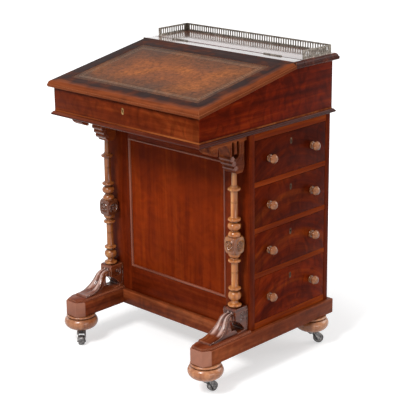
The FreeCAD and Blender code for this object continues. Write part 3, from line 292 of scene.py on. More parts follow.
corners = ("front_left", "front_right", "back_left", "back_right")
joints = {joint["name"]: joint for joint in frame["joints"]}
iron = old_metal("caster_iron", (52, 50, 50), (112, 109, 108), (176, 172, 168), 0.35, 0.6)
dress(iron, "caster_plates", *[f"caster_fork_{corner}" for corner in corners])

wheel_side = [(2.6, 8), (5, 8), (5.8, 6.6), (10.6, 6.6), (11.4, 8), (12.4, 8), (12.8, 7.5)]
wheel_other = [(radius, -height) for radius, height in wheel_side]
tread_crown = 1.2
wheel_profile = wheel_other + bow(wheel_other[-1], wheel_side[-1], tread_crown) + wheel_side[-2::-1]
wheel = turned(millimetres(wheel_profile), 48)
for corner in corners:
    roll = joints[f"roll_{corner}"]
    turn = Vector(roll["axis"]).to_track_quat("Z", "Y").to_matrix().to_4x4()
    stand = Matrix.Translation(roll["pos_m"]) @ turn
    name = f"wheel_{corner}"
    make(name, [wheel.placed(stand)], name, iron, [f"caster_{name}"])


# Bun feet: turned mahogany buns under a collar, lighter than the carcass where the polish has worn off.
# Each has a dowel that is glued into the runner above it.
def polished_wood(name, dark, middle, light, along="own", arch=None, strength=1.0, gloss=0.34, shine=0.02,
                  coat=0.0, wear_and_sheen=0.6, edge_and_sheen_colour=None, wax_and_shade=0.45, hollow=(0.72, 0.2), sheen_band=None, reach_colour=None,
                  curl=0.0):
    """Polished hardwood: broad figure, fine streaks, open pores, hollows darkened as dark wax and painted
    shade, and pale edges that are rubbed wear and, on some pieces, painted highlight.

    Between the two places in y that sheen_band gives, the wood turns pale as a painted highlight; where
    the piece's reach is 1 it turns to its reach colour, which paints a highlight on the knee ridges and shade
    on the left column, and darkens the column blocks. Curl is the share of cross-grain mottle.
    """
    dark, middle, light = (shade(*tone, strength) for tone in (dark, middle, light))
    edge_and_sheen_colour = shade(*edge_and_sheen_colour) if edge_and_sheen_colour else light
    finish = Finish(name, Specular_IOR_Level=shine, Coat_Weight=coat, Coat_Roughness=0.12)
    place = finish.plume(*arch) if arch else finish.lay(along)
    figure = finish.cloud(place, (1.6, 13, 13), 4, 1.2)
    streaks = finish.cloud(place, (5, 95, 95), 5, 0.3)
    pores = finish.cloud(place, (55, 900, 900), 2)
    patina = finish.cloud(finish.lay("x"), (5, 5, 5), 3)
    tone = finish.weighed(figure, 0.6, streaks)
    colour = finish.tones(tone, (0.36, dark), (0.5, middle), (0.65, light))
    if curl:
        mottle = finish.spread(finish.cloud(place, (26, 20, 20), 5, 1.6), 0.36, 0.64, 1 - curl, 1 + curl)
        colour = finish.dappled(colour, mottle)
    flecks = finish.spread(pores, 0.58, 0.72, 0.0, 0.35)
    colour = finish.blend(flecks, colour, dark)
    stain = finish.tones(patina, (0.3, (0.84, 0.82, 0.82, 1)), (0.7, (1.1, 1.1, 1.1, 1)))
    colour = finish.blend(1.0, colour, stain, "MULTIPLY")
    # Pale edges: rubbed wear, and on the caps, knees and brackets also a painted highlight.
    edge_wear_and_sheen = finish.spread(patina, 0.3, 0.6, wear_and_sheen * 0.5, wear_and_sheen)
    colour = finish.blend(finish.reckon("MULTIPLY", finish.arris(1.6 * MM), edge_wear_and_sheen), colour, edge_and_sheen_colour)
    # Painted highlight: a band in y across the runners' canted front ends turns pale.
    if sheen_band:
        y = finish.layer("SeparateXYZ", {0: finish.layer("TexCoord", {}, 3)}, 1)
        sheen_patches = finish.spread(patina, 0.3, 0.7, 0.35, 0.75)
        colour = finish.blend(finish.reckon("MULTIPLY", finish.spread(y, *sheen_band), sheen_patches), colour, edge_and_sheen_colour)
    # Where the reach mark is 1: painted highlight on the knee ridges, painted shade on the left column,
    # darker column blocks.
    if reach_colour:
        colour = finish.blend(finish.mark("reach"), colour, shade(*reach_colour))
    # Hollows, creases and joints darkened by ambient occlusion: partly dark wax, partly painted shade.
    hollow_darkening = finish.spread(finish.opening(10 * MM), *hollow, 0.0, wax_and_shade)
    colour = finish.blend(hollow_darkening, colour, tuple(part * 0.35 for part in dark[:3]) + (1.0,))
    roughness = finish.spread(streaks, 0.3, 0.7, gloss - 0.06, gloss + 0.1)
    relief = finish.reckon("SUBTRACT", finish.reckon("MULTIPLY", streaks, 0.4), flecks)
    return finish.done(colour, roughness, relief, 0.05 * MM)


foot_wood = polished_wood("foot_wood", (120, 66, 36), (164, 102, 64), (194, 134, 92), gloss=0.17, shine=0.5,
                          wear_and_sheen=0.2, wax_and_shade=0.85, hollow=(0.9, 0.4))
belly, waist, collar = (47, 66), (39, 79), 37
foot_profile = [(0, 46), (26, 46), *bow((26, 46), belly, 6.2, 16), *bow(belly, waist, 2.1, 10), (37.6, 79.3),
                (collar - 0.6, 80.2), *bow((collar, 80.4), (collar, 87.2), 3.5, 12), (37.6, 88), (0, 88)]
foot = turned(millimetres(foot_profile))
feet = [foot.placed(Matrix.Translation((*joints[f"swivel_{corner}"]["pos_m"][:2], 0))) for corner in corners]
make("feet", feet, "carcass", foot_wood, ["bun_feet"])


# Runners and plinth rails: thick mahogany sledges with canted front ends, which carry the whole desk.
# The two rails are tenoned between them, and the long edges are only just eased.
def stocks_of(work, along):
    """Each separate board of a worked mesh as a stock."""
    work.verts.index_update()
    seen = set()
    boards = []
    for start in work.verts:
        if start.index in seen:
            continue
        group = [start]
        seen.add(start.index)
        for vert in group:
            for edge in vert.link_edges:
                other = edge.other_vert(vert)
                if other.index not in seen:
                    seen.add(other.index)
                    group.append(other)
        number = {vert.index: place for place, vert in enumerate(group)}
        own = [face for face in work.faces if face.verts[0].index in number]
        faces = [[number[vert.index] for vert in face.verts] for face in own]
        boards.append(Stock([vert.co for vert in group], faces, along))
    work.free()
    return boards


def eased(node, ease, along, least=30 * MM, joint=None):
    """The boards of a node, with their long edges eased by a stroke of the plane.

    Joint is the place in y of a top edge that is rounded more, and the size of that round.
    """
    work = bmesh.new()
    work.from_mesh(frame["nodes"][node].data)
    bmesh.ops.remove_doubles(work, verts=work.verts, dist=0.001 * MM)
    bmesh.ops.dissolve_limit(work, angle_limit=math.radians(1), verts=work.verts, edges=work.edges)

    def ease_edges(size, wanted=lambda corner: True):
        sharp = [edge for edge in work.edges if edge.is_manifold and edge.calc_length() > least
                 and edge.calc_face_angle() > math.radians(30)
                 and all(wanted(vert.co) for vert in edge.verts)]
        bmesh.ops.bevel(work, geom=sharp, offset=size, segments=3, profile=0.5, affect="EDGES")

    if joint:
        top = max(vert.co.z for vert in work.verts)
        close = 0.2 * MM
        ease_edges(joint[1], lambda corner: abs(corner.y - joint[0]) < close and corner.z > top - close)
    ease_edges(ease)
    return stocks_of(work, along)


def planed(name, node, body, finish, along, ease=0.8 * MM, least=30 * MM, joint=None):
    """A piece of eased mahogany boards that stands for one node."""
    return make(name, eased(node, ease, along, least, joint), body, finish, [node])


# The canted front ends of the runners carry a pale band: a painted highlight.
runner_wood = polished_wood("runner_wood", (82, 31, 12), (112, 49, 22), (144, 76, 42), shine=0.06, wear_and_sheen=0.8,
                            edge_and_sheen_colour=(178, 126, 106), sheen_band=(-0.2245, -0.2275), curl=0.2)
runner_ease = 1.5 * MM
for hand in ("left", "right"):
    planed(f"sledge_{hand}", f"runner_{hand}", "carcass", runner_wood, 1, runner_ease)
planed("plinth", "plinth_rails", "carcass", runner_wood, 0, runner_ease)


# Pedestal front and back: mahogany stiles and rails framed up round a panel with upright grain.
# The front panel is held by a small mitred bead, painted pale as a painted highlight along the line of light
# it catches.
def plank(low, high, ease, along):
    """A squared board with eased edges."""
    low, high = Vector(low), Vector(high)
    work = bmesh.new()
    bmesh.ops.create_cube(work, size=1.0)
    bmesh.ops.scale(work, vec=high - low, verts=work.verts)
    bmesh.ops.translate(work, vec=(low + high) / 2, verts=work.verts)
    bmesh.ops.bevel(work, geom=list(work.edges), offset=ease, segments=2, profile=0.5, affect="EDGES")
    return stocks_of(work, along)[0]


def lofted(rows, count):
    """Faces of a closed skin over rows of as many points each, with both ends closed."""
    faces = [range(count), range((rows - 1) * count, rows * count)]
    for low in range(0, (rows - 1) * count, count):
        for place in range(count):
            after = (place + 1) % count
            faces.append((low + place, low + after, low + count + after, low + count + place))
    return faces


def mitred(sides, low, high):
    """Strips mitred round a rectangle; each side has its closed profile of (reach, height)."""
    strips = []
    for side, profile in enumerate(sides):
        points = []
        for corner in (side, (side + 1) % 4):
            for reach, height in profile:
                x = low[0] - reach if corner in (0, 3) else high[0] + reach
                y = low[1] - reach if corner in (0, 1) else high[1] + reach
                points.append((x, y, height))
        strip = Stock(points, lofted(2, len(profile)), side % 2)
        strip.reach = np.array([reach for reach, height in profile] * 2)
        strips.append(strip)
    return strips


frame_wood = polished_wood("frame_wood", (78, 22, 4), (100, 32, 8), (122, 48, 17), wear_and_sheen=0.7, curl=0.14)
panel_wood = polished_wood("panel_wood", (100, 30, 3), (118, 39, 6), (138, 53, 12), along="z", curl=0.13)
panel_tongue, joint_ease = 8 * MM, 0.5 * MM
openings = {}
for place in ("front", "back"):
    low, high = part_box(f"{place}_frame")
    panel_low, panel_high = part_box(f"{place}_panel")
    left, right = panel_low.x + panel_tongue, panel_high.x - panel_tongue
    foot_line, head_line = panel_low.z + panel_tongue, panel_high.z - panel_tongue
    openings[place] = (left, foot_line), (right, head_line)
    boards = [plank(low, (left, high.y, high.z), joint_ease, 2),
              plank((right, low.y, low.z), high, joint_ease, 2),
              plank((left, low.y, low.z), (right, high.y, foot_line), joint_ease, 0),
              plank((left, low.y, head_line), (right, high.y, high.z), joint_ease, 0)]
    make(f"{place}_framing", boards, "carcass", frame_wood, [f"{place}_frame"])
dress(panel_wood, "front_panel", "back_panel")

bead_width, bead_depth = 6 * MM, 6 * MM
# Pale tones: a painted highlight along the bead.
bead_wood = polished_wood("bead_wood", (100, 46, 30), (146, 84, 62), (186, 132, 106), gloss=0.2, shine=0.2,
                          wear_and_sheen=1.0)
bead_shoulder = (0, bead_depth * 0.6)
bead_profile = [(0, 0), bead_shoulder,
                *bow(bead_shoulder, (-bead_width, bead_depth * 0.5), bead_depth * 0.42), (-bead_width, 0)]
bead_stand = Matrix.Translation((0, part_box("front_bead")[1].y, 0)) @ Matrix.Rotation(math.pi / 2, 4, "X")
beads = [strip.placed(bead_stand) for strip in mitred([bead_profile] * 4, *openings["front"])]
make("panel_bead", beads, "carcass", bead_wood, ["front_bead"])


# Pedestal sides: rails between the drawers, and on the left the false drawers that match the working ones.
# Inside are the floor, the bearers that the drawers run on and the plain board behind the false fronts.
def bare_wood(name, dark, middle, light, along):
    """Unpolished deal or oak, dry and dusty, with plain straight grain."""
    return polished_wood(name, dark, middle, light, along, gloss=0.62, wear_and_sheen=0.3)


rail_wood = polished_wood("rail_wood", (104, 34, 6), (134, 52, 12), (164, 76, 27), wear_and_sheen=0.7)
planed("drawer_rails", "side_rails", "carcass", rail_wood, 1)
pale_tones = (132, 92, 55), (152, 110, 68), (172, 130, 86)
lining_x = bare_wood("lining_along", *pale_tones, "x")
lining_z = bare_wood("lining_upright", *pale_tones, "z")
dress(lining_x, "pedestal_floor", "drawer_bearers")
dress(lining_z, "left_side_board")


# Drawers: fronts in crotch mahogany, whose figure arches over the lock, with pale dovetailed linings.
# Each front has two turned knobs on spigots, and a brass lock let in behind a small oval escutcheon.
def old_brass(name, dark, plain, bright):
    return old_metal(name, dark, plain, bright, 0.3, 0.5)


brass = old_brass("lock_brass", (70, 50, 26), (142, 108, 62), (206, 172, 116))
tarnished = old_brass("tarnished_brass", (40, 26, 18), (66, 46, 32), (104, 80, 58))
front_low, front_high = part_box("drawer_1_front")
figure_centre, figure_bend = (front_low.y + front_high.y) / 2, 2.4
# Painted light: the drawer fronts go from darker at the top to lighter at the bottom, as bounced light from
# the floor.
leaf_light = {"drawer_1": 0.72, "drawer_2": 0.78, "drawer_3": 0.92, "drawer_4": 1.28}


def crotch_leaf(name, strength):
    """Crotch veneer whose arched figure is mottled, made lighter or darker by a strength, which on the
    working drawers paints light.
    """
    return polished_wood(name, (74, 17, 1), (98, 28, 3), (124, 48, 11), arch=(figure_centre, figure_bend),
                         strength=strength, wear_and_sheen=0.5, curl=0.3)


knob_wood = polished_wood("knob_wood", (90, 42, 18), (144, 83, 44), (198, 139, 92), gloss=0.14, shine=0.34,
                          wear_and_sheen=0.3, wax_and_shade=0.9, hollow=(0.9, 0.45))
knob_radius = 12.2
knob_profile = [(0, -1), (9.6, -1), *bow((9.6, -1), (9.8, 3.8), 0.8, 6),
                *bow((9.8, 3.8), (5.6, 9.2), -1.4, 8), *bow((5.6, 9.2), (10.4, 12.6), -0.5, 5),
                *bow((10.4, 12.6), (11.2, 18.6), 1.6, 10), *bow((11.2, 18.6), (0, 25), 2.2, 14)]
knob = turned(millimetres(knob_profile), 48)


def knobs_on(node, face, point_out, heights):
    """Two knobs at each height, as far apart as a node's, standing out of a face along x."""
    low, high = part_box(node)
    turn = Matrix.Rotation(point_out * math.pi / 2, 4, "Y")
    places = (low.y + knob_radius * MM, high.y - knob_radius * MM)
    return [knob.placed(Matrix.Translation((face, y, z)) @ turn) for z in heights for y in places]


front_edge = 60 * MM
middles = []
for name, strength in leaf_light.items():
    low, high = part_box(f"{name}_knobs")
    middles.append((low.z + high.z) / 2)
    planed(f"{name}_face", f"{name}_front", name, crotch_leaf(f"{name}_leaf", strength), 1, least=front_edge)
    pair = knobs_on(f"{name}_knobs", front_high.x, 1, middles[-1:])
    make(f"{name}_pulls", pair, name, knob_wood, [f"{name}_knobs"])
    dress(lining_x, f"{name}_box")
    dress(tarnished, f"{name}_lock")
false_leaf = crotch_leaf("false_leaf", 1.0)
planed("false_fronts", "dummy_fronts", "carcass", false_leaf, 1, least=front_edge)
pulls = knobs_on("dummy_knobs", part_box("dummy_fronts")[0].x, -1, middles)
make("false_pulls", pulls, "carcass", knob_wood, ["dummy_knobs"])


# Scroll knees: a carved mahogany bracket under each column, with a leaf that sweeps down to a scrolled toe.
# The carver cut the strokes into the cheeks and fluted the sweep; the cuts are darkened as dark wax and
# painted shade, and the leaf ridges and edges carry a painted highlight.
def blank_of(node, grit):
    """The points, outward normals and faces of a node, wrapped in small even faces with softened edges."""
    blank = put(f"{node}_blank", frame["nodes"][node].data.copy())
    wrap = blank.modifiers.new("wrap", "REMESH")
    wrap.mode = "VOXEL"
    wrap.voxel_size = grit
    soften = blank.modifiers.new("soften", "SMOOTH")
    soften.iterations = 3
    mesh = bpy.data.meshes.new_from_object(blank.evaluated_get(bpy.context.evaluated_depsgraph_get()))
    bpy.data.objects.remove(blank)
    points, normals = np.zeros(len(mesh.vertices) * 3), np.zeros(len(mesh.vertices) * 3)
    mesh.vertices.foreach_get("co", points)
    mesh.vertex_normals.foreach_get("vector", normals)
    return points.reshape(-1, 3), normals.reshape(-1, 3), [tuple(face.vertices) for face in mesh.polygons]


def sweep(*points):
    """A smooth line of (y, z) through three-point bends: start, two handles, stop, two handles, and so on."""
    line = []
    for start in range(0, len(points) - 3, 3):
        bend = [Vector((*point, 0)) for point in points[start:start + 4]]
        line += [(point.x, point.y) for point in interpolate_bezier(*bend, 60)]
    return line


def volute(centre, outer, inner, turns, start):
    """A scroll that winds in from its outer radius, in mm; a negative number of turns winds the other way."""
    line = []
    steps = 120
    for step in range(steps + 1):
        share = step / steps
        radius = outer * MM * (inner / outer) ** share
        angle = math.radians(start) + 2 * math.pi * turns * share
        line.append((centre[0] + radius * math.cos(angle), centre[1] + radius * math.sin(angle)))
    return line


def nearness(points, line):
    """Distance of each point, seen from the side, to a line of (y, z)."""
    return np.min([np.hypot(points[:, 1] - y, points[:, 2] - z) for y, z in line], axis=0)


def cut_cheeks(points, normals, strokes):
    """Cut each stroke, a line with its half width and depth in mm, into the faces that look sideways."""
    cheek = np.abs(normals[:, 0]) > 0.5
    for line, half, depth in strokes:
        near = np.clip(nearness(points, line) / (half * MM), 0, 1)
        points[:, 0] -= np.where(cheek, np.sign(normals[:, 0]) * (depth * MM) * (1 - near ** 2) ** 2, 0)


pedestal_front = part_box("front_frame")[0].y
knee_low, knee_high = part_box("scroll_knees")


def on_knee(reach, height):
    return pedestal_front - reach * MM, knee_low.z + height * MM


def knee_sweep(*places):
    return sweep(*[on_knee(*place) for place in places])


# Near-white edge and ridge colours: painted highlight, with some wear on the edges.
carved_wood = polished_wood("carved_wood", (68, 27, 12), (112, 52, 26), (156, 90, 54), wear_and_sheen=1.0,
                            edge_and_sheen_colour=(228, 184, 160), gloss=0.18, shine=0.42, wax_and_shade=0.9, hollow=(0.9, 0.4),
                            reach_colour=(214, 180, 168))
carving_grit = 1.2 * MM
points, normals, faces = blank_of("scroll_knees", carving_grit)
leaf_top = knee_sweep((47, 62), (60, 62), (70, 58), (77, 47), (88, 28), (108, 14), (138, 12))
leaf_edge = knee_sweep((50, 50), (60, 52), (68, 44), (74, 34), (82, 20), (98, 11), (122, 8))
knee_strokes = [
    (leaf_edge, 2.2, 2.2),
    (volute(on_knee(131, 6.5), 5.5, 1.2, 1.3, 60), 1.4, 1.3),
    (volute(on_knee(22, 57), 14, 2.5, 1.6, -120), 2.4, 2.2),
    (knee_sweep((5, 70), (2, 50), (3, 30), (8, 16)), 1.8, 1.4),
    (volute(on_knee(64, 28), 9, 2, 1.2, 150), 1.9, 1.7),
]
cut_cheeks(points, normals, knee_strokes)
column_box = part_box("columns")
roundel_rise = 3 * MM
block_half = (column_box[1].y - column_box[0].y) / 2 - roundel_rise
column_x = column_box[1].x - block_half - roundel_rise
off = np.abs(np.abs(points[:, 0]) - column_x)
crest_half, foot_half, thinning = 8 * MM, 22 * MM, (knee_low.z + 20 * MM, knee_high.z)
share = off / np.interp(points[:, 2], thinning, (foot_half, crest_half))
on_leaf = (nearness(points, leaf_top) < 5 * MM) & (np.abs(normals[:, 0]) < 0.8)
fade = np.clip((points[:, 2] - knee_low.z - 13 * MM) / (8 * MM), 0, 1)
flute = 4.2 * np.exp(-(share / 0.24) ** 2) + 2.4 * np.exp(-((share - 0.95) / 0.2) ** 2)
points -= normals * (np.where(on_leaf, flute, 0) * fade * MM)[:, None]
pearl = turned([(0, -5 * MM), *bow((0, -5 * MM), (0, 5 * MM), 4.999 * MM, 16)], 24)
pearl_y, pearl_z = on_knee(57, 51)
pearl_off = 11 * MM
pearls = [pearl.placed(Matrix.Translation((side * column_x + hand * pearl_off, pearl_y, pearl_z)))
          for side in (-1, 1) for hand in (-1, 1)]
knees = Stock(points, faces, 1)
# Painted highlight: the two ridges along each leaf are marked to turn near white.
ridge = np.where(on_leaf, 0.75 * np.exp(-((share - 0.52) / 0.2) ** 2), 0)
knees.reach = ridge * np.clip(fade * 2 - 1, 0, 1)
soft_crease = 60
make("carved_knees", [knees, *pearls], "carcass", carved_wood, ["scroll_knees"], soft_crease)


# Runner caps: a thin moulded mahogany slip on each runner, from the pedestal to the toe, under the knee.
# It is glued down, and its edges are painted pale as a painted highlight, the fine double line of light they
# catch.
# Pale edges at full share: a painted highlight along the cap's edges.
cap_wood = polished_wood("cap_wood", (82, 33, 15), (112, 50, 26), (150, 86, 56), shine=0.15, wear_and_sheen=1.0,
                         edge_and_sheen_colour=(178, 122, 92))
cap_height, cap_inset, cap_step, cap_cant, cap_slant = 6.5 * MM, 4 * MM, 2 * MM, 12 * MM, 21 * MM
caps = []
for hand in ("left", "right"):
    low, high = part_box(f"runner_{hand}")
    left, right, toe = low.x + cap_inset, high.x - cap_inset, low.y + cap_inset
    plan = [(left, pedestal_front), (right, pedestal_front), (right, toe + cap_slant),
            (right - cap_cant, toe), (left + cap_cant, toe), (left, toe + cap_slant)]
    centre = np.mean(plan, axis=0)
    rows = [(0, 0), (0, 0.45), (cap_step, 0.6), (cap_step, 0.85), (cap_step * 1.6, 1.0)]
    slip = []
    for inset, share in rows:
        for x, y in plan:
            slip.append((x - math.copysign(inset, x - centre[0]), y + (0 if y == pedestal_front else inset),
                         high.z + share * cap_height))
    caps.append(Stock(slip, lofted(len(rows), len(plan)), 1))
make("runner_caps", caps, "carcass", cap_wood, [])


# Columns: turned mahogany with rings and bulbs, golden where the polish is worn, about a square carved block.
# Each face of the block has a dished roundel with a flower, and the shafts have incised lines. Spigots at
# both ends are glued into the knee and the bracket; the left column is painted darker as painted shade, and
# both blocks are darker.
column_spigot = 14 * MM
column_foot, column_head = column_box[0].z + column_spigot, column_box[1].z - column_spigot
column_y = (column_box[0].y + column_box[1].y) / 2
base_height, ring_height, collar_height, block_height = 15, 13, 14, 44
bulb_heights = {"lower": 30, "upper": 26}
shaft_radius = 9.2
column_height = (column_head - column_foot) / MM
turned_length = base_height + 4 * ring_height + 2 * collar_height + sum(bulb_heights.values()) + block_height
plain_length = column_height - turned_length
lower_shaft, upper_shaft = plain_length * 0.375, plain_length * 0.405


def base_ring(base, tall):
    """A wide torus with a cove above it, on the carved block."""
    return [(15, base), *bow((15.6, base + 0.4), (15.2, base + 8.4), 2.8, 12), (13.2, base + 9),
            *bow((13.2, base + 9), (9.6, base + tall - 0.6), -1.3, 8)]


def ring(base, tall):
    """A rounded disc between a fillet below and a small cove above."""
    top = base + tall
    return [(10.4, base), (11.4, base + 0.8), (12.2, base + 1.2),
            *bow((12.4, base + 1.4), (12.4, top - 4), 4.4, 14), (11.8, top - 3.6), (11.6, top - 2.8),
            *bow((11.6, top - 2.8), (shaft_radius + 0.3, top), -0.8, 5)]


def bulb(base, tall):
    low, high = base + 3, base + tall - 3
    foot, head = (shaft_radius, base), (shaft_radius, base + tall)
    return [foot, *bow(foot, (10.4, low), -0.5, 4), *bow((10.4, low), (10.4, high), 6.8, 20),
            *bow((10.4, high), head, -0.5, 4)]


def shaft(base, tall):
    """A plain shaft with a pair of incised lines above its middle."""
    line = base + tall * 0.56
    floor_of_cut = shaft_radius - 0.9
    cuts = []
    for middle in (line - 1.6, line + 1.6):
        cuts += [(shaft_radius, middle - 0.8), (floor_of_cut, middle - 0.1), (floor_of_cut, middle + 0.1),
                 (shaft_radius, middle + 0.8)]
    return [(shaft_radius, base + 0.5), *cuts, (shaft_radius, base + tall - 0.5)]


def flare(base, tall):
    """An ovolo that swells from a narrow neck to the foot of the block."""
    foot = (shaft_radius, base)
    return [foot, *bow(foot, (16, base + tall), 2.5, 10)]


def fall(base, tall):
    return [(radius, 2 * base + tall - height) for radius, height in reversed(flare(base, tall))]


def block(base, tall):
    ends = 4
    low, high = base + ends, base + tall - ends
    return [(17, base), *bow((17, base), (23.5, low), 1.4, 6), *bow((23.5, low), (23.5, high), 2.5, 48),
            *bow((23.5, high), (17, base + tall), 1.4, 6)]


rounds = (ring, ring_height)
turnings = [(base_ring, base_height), (bulb, bulb_heights["lower"]), rounds, (shaft, lower_shaft), rounds,
            (flare, collar_height), (block, block_height), (fall, collar_height),
            (bulb, bulb_heights["upper"]), rounds, (shaft, upper_shaft), rounds]
profile, level = [(0, 0)], 0.0
for part, tall in turnings:
    if part is block:
        block_middle = (level + tall / 2) * MM
    profile += part(level, tall)
    level += tall
profile += [(7.4, level + 0.6), (6.2, column_height), (0, column_height)]
column = turned(millimetres(profile), 168)
rim_radius, petal_radius, petals = 13 * MM, 7.2 * MM, 6
on_block = np.abs(column.points[:, 2] - block_middle) < block_height / 2 * MM
for axis, other in ((0, 1), (1, 0)):
    face = on_block & (np.abs(column.points[:, axis]) >= np.abs(column.points[:, other]))
    flat = face & (np.abs(column.points[:, axis]) > block_half)
    squeeze = block_half / np.maximum(np.abs(column.points[:, axis]), 1e-9)
    drawn_in = column.points[:, other] * (0.35 + 0.65 * squeeze)
    column.points[:, other] = np.where(flat, drawn_in, column.points[:, other])
    across, up = column.points[:, other], column.points[:, 2] - block_middle
    away, angle = np.hypot(across, up), np.arctan2(up, across)
    rise = 2.9 * np.exp(-((away - rim_radius) / (1.9 * MM)) ** 2) - 2.2 * (away < rim_radius)
    rise += 3.6 * np.exp(-((away - petal_radius) / (3.0 * MM)) ** 2) * (0.5 + 0.5 * np.cos(petals * angle))
    rise += 4.2 * np.exp(-(away / (2.6 * MM)) ** 2)
    carved = np.sign(column.points[:, axis]) * (block_half + rise * MM * (away < 17 * MM))
    column.points[:, axis] = np.where(flat, carved, column.points[:, axis])
columns = []
# Painted shade: the left column is marked darker all over; both blocks are marked darker.
block_darkening = 0.5
for side, column_shade in ((-1, 0.42), (1, 0.0)):
    columns.append(column.placed(Matrix.Translation((side * column_x, column_y, column_foot))))
    columns[-1].reach = np.where(on_block, column_shade + block_darkening, column_shade)
column_wood = polished_wood("column_wood", (114, 56, 22), (182, 108, 50), (224, 156, 88), gloss=0.16,
                            shine=0.42, wear_and_sheen=0.5, wax_and_shade=0.9, hollow=(0.92, 0.42), reach_colour=(88, 44, 26))
make("turned_columns", columns, "carcass", column_wood, ["columns"], 40)


# Pierced brackets: carved corbels between the columns and the writing case, with an arm that ends in a scroll
# and a bowl with an upright opening. They are sawn from thick mahogany, carved on both cheeks, faced with
# three round reeds and screwed up into the floor of the case.
bracket_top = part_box("pierced_brackets")[1].z


def on_bracket(reach, drop):
    return pedestal_front - reach * MM, bracket_top - drop * MM


def bracket_sweep(*places):
    return sweep(*[on_bracket(*place) for place in places])


points, normals, faces = blank_of("pierced_brackets", carving_grit)
bracket_strokes = [
    (volute(on_bracket(117, 21), 9, 1.6, -1.4, 200), 1.9, 1.8),
    (bracket_sweep((128, 4), (110, 6), (92, 8), (66, 7)), 1.8, 1.4),
    (bracket_sweep((23, 14), (21, 40), (24, 60), (42, 61), (60, 60), (63, 40), (64, 20)), 1.8, 1.6),
    (bracket_sweep((58, 50), (54, 60), (46, 68), (34, 70)), 1.6, 1.3),
    (bracket_sweep((52, 63), (48, 72), (42, 79), (30, 82)), 1.6, 1.3),
    (bracket_sweep((14, 24), (12, 40), (13, 52), (20, 64)), 1.8, 1.4),
]
cut_cheeks(points, normals, bracket_strokes)
# Pale edges: wear in part, painted highlight in part; hollows darkened as dark wax and painted shade.
bracket_wood = polished_wood("bracket_wood", (84, 32, 12), (130, 61, 27), (176, 94, 46), shine=0.05, wear_and_sheen=0.9,
                             edge_and_sheen_colour=(200, 132, 88), wax_and_shade=0.85)
brackets = Stock(points, faces, 1)
make("carved_brackets", [brackets], "carcass", bracket_wood, ["pierced_brackets"], soft_crease)
reed_radius, reed_half, reed_end = 7.2, 20.4, 0.8
reed_face = reed_radius - reed_end
reed_profile = [(0, -reed_half), (reed_face, -reed_half), (reed_radius, reed_end - reed_half),
                (reed_radius, reed_half - reed_end), (reed_face, reed_half), (0, reed_half)]
reed = turned(millimetres(reed_profile), 40)
reeds = []
for side in (-1, 1):
    for step in range(3):
        y, z = on_bracket(54 - 6 * step, 54 + 13 * step)
        across_front = Matrix.Translation((side * column_x, y, z)) @ Matrix.Rotation(math.pi / 2, 4, "Y")
        reeds.append(reed.placed(across_front))
reed_wood = polished_wood("reed_wood", (80, 34, 20), (112, 56, 38), (146, 90, 68), gloss=0.2, shine=0.3,
                          wear_and_sheen=0.4)
make("bracket_reeds", reeds, "carcass", reed_wood, [])


# Writing case: mitred walls in figured mahogany on a floor board, with a rounded moulding round its foot.
# The lock is let into the front wall from behind, with its escutcheon outside.
case_front_wood = polished_wood("case_front_wood", (74, 23, 5), (94, 34, 10), (120, 53, 21), curl=0.24)
case_side_wood = polished_wood("case_side_wood", (74, 16, 1), (102, 26, 3), (136, 48, 12), curl=0.3)
wall_edge = 40 * MM
planed("case_front_wall", "case_front", "carcass", case_front_wood, 0, least=wall_edge)
planed("case_side_walls", "case_sides", "carcass", case_side_wood, 1, least=wall_edge)
planed("case_back_wall", "case_back", "carcass", case_side_wood, 0, least=wall_edge)
case_inside_wood = polished_wood("case_inside_wood", (84, 34, 14), (128, 62, 28), (160, 92, 48), "x")
dress(case_inside_wood, "case_floor")
dress(brass, "case_lock")

wall_low, wall_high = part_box("case_floor")
mould_low, mould_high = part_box("case_moulding")
mould_reach, mould_height = wall_low.x - mould_low.x, mould_high.z - mould_low.z
mould_belly = (mould_reach * 0.7, 0)
mould_neck = (mould_reach * 0.62, mould_height * 0.7)
mould_round = bow(mould_belly, (mould_reach * 0.75, mould_height * 0.62), mould_reach * 0.28, 10)
mould_profile = [(0, 0), mould_belly, *mould_round, mould_neck,
                 *bow(mould_neck, (mould_reach * 0.2, mould_height), 0.8 * MM, 6), (0, mould_height)]
mould_wood = polished_wood("mould_wood", (54, 15, 4), (70, 22, 6), (118, 56, 30), gloss=0.22, shine=0.08,
                           wear_and_sheen=0.3)
foot_of_case = Matrix.Translation((0, 0, mould_low.z))
mouldings = [strip.placed(foot_of_case) for strip in mitred([mould_profile] * 4, wall_low.xy, wall_high.xy)]
make("case_foot_moulding", mouldings, "carcass", mould_wood, ["case_moulding"])


# Nest in the well: pigeonholes over two small drawers, in thin mahogany with turned pulls.
# It slides in as one piece behind the hinge line.
nest_wood = polished_wood("nest_wood", (80, 32, 13), (124, 60, 28), (158, 92, 50), "x")
dress(nest_wood, "inner_nest", "inner_drawer_left", "inner_drawer_right")


# Fixed shelf and hinge rail: polished mahogany boards with moulded edges, which mirror what is behind them.
# The shelf is screwed down on the case, and the rail is tongued to the slope and hinged to the shelf.
shelf_wood = polished_wood("shelf_wood", (58, 28, 24), (92, 50, 40), (132, 78, 58), gloss=0.16, shine=1.0,
                           wear_and_sheen=0.3, coat=1.0)
joint_round = 3 * MM
rail_back, shelf_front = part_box("lid_hinge_rail")[1].y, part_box("top_shelf")[0].y
shelf = planed("shelf_board", "top_shelf", "carcass", shelf_wood, 0, least=front_edge,
               joint=(shelf_front, joint_round))
hinge_board = planed("hinge_board", "lid_hinge_rail", "lid", shelf_wood, 0, least=front_edge,
                     joint=(rail_back, joint_round))
level_face = 0.99
for board in (shelf, hinge_board):
    board.data.materials.append(mould_wood)
    for face in board.data.polygons:
        face.material_index = int(face.normal.z < level_face)


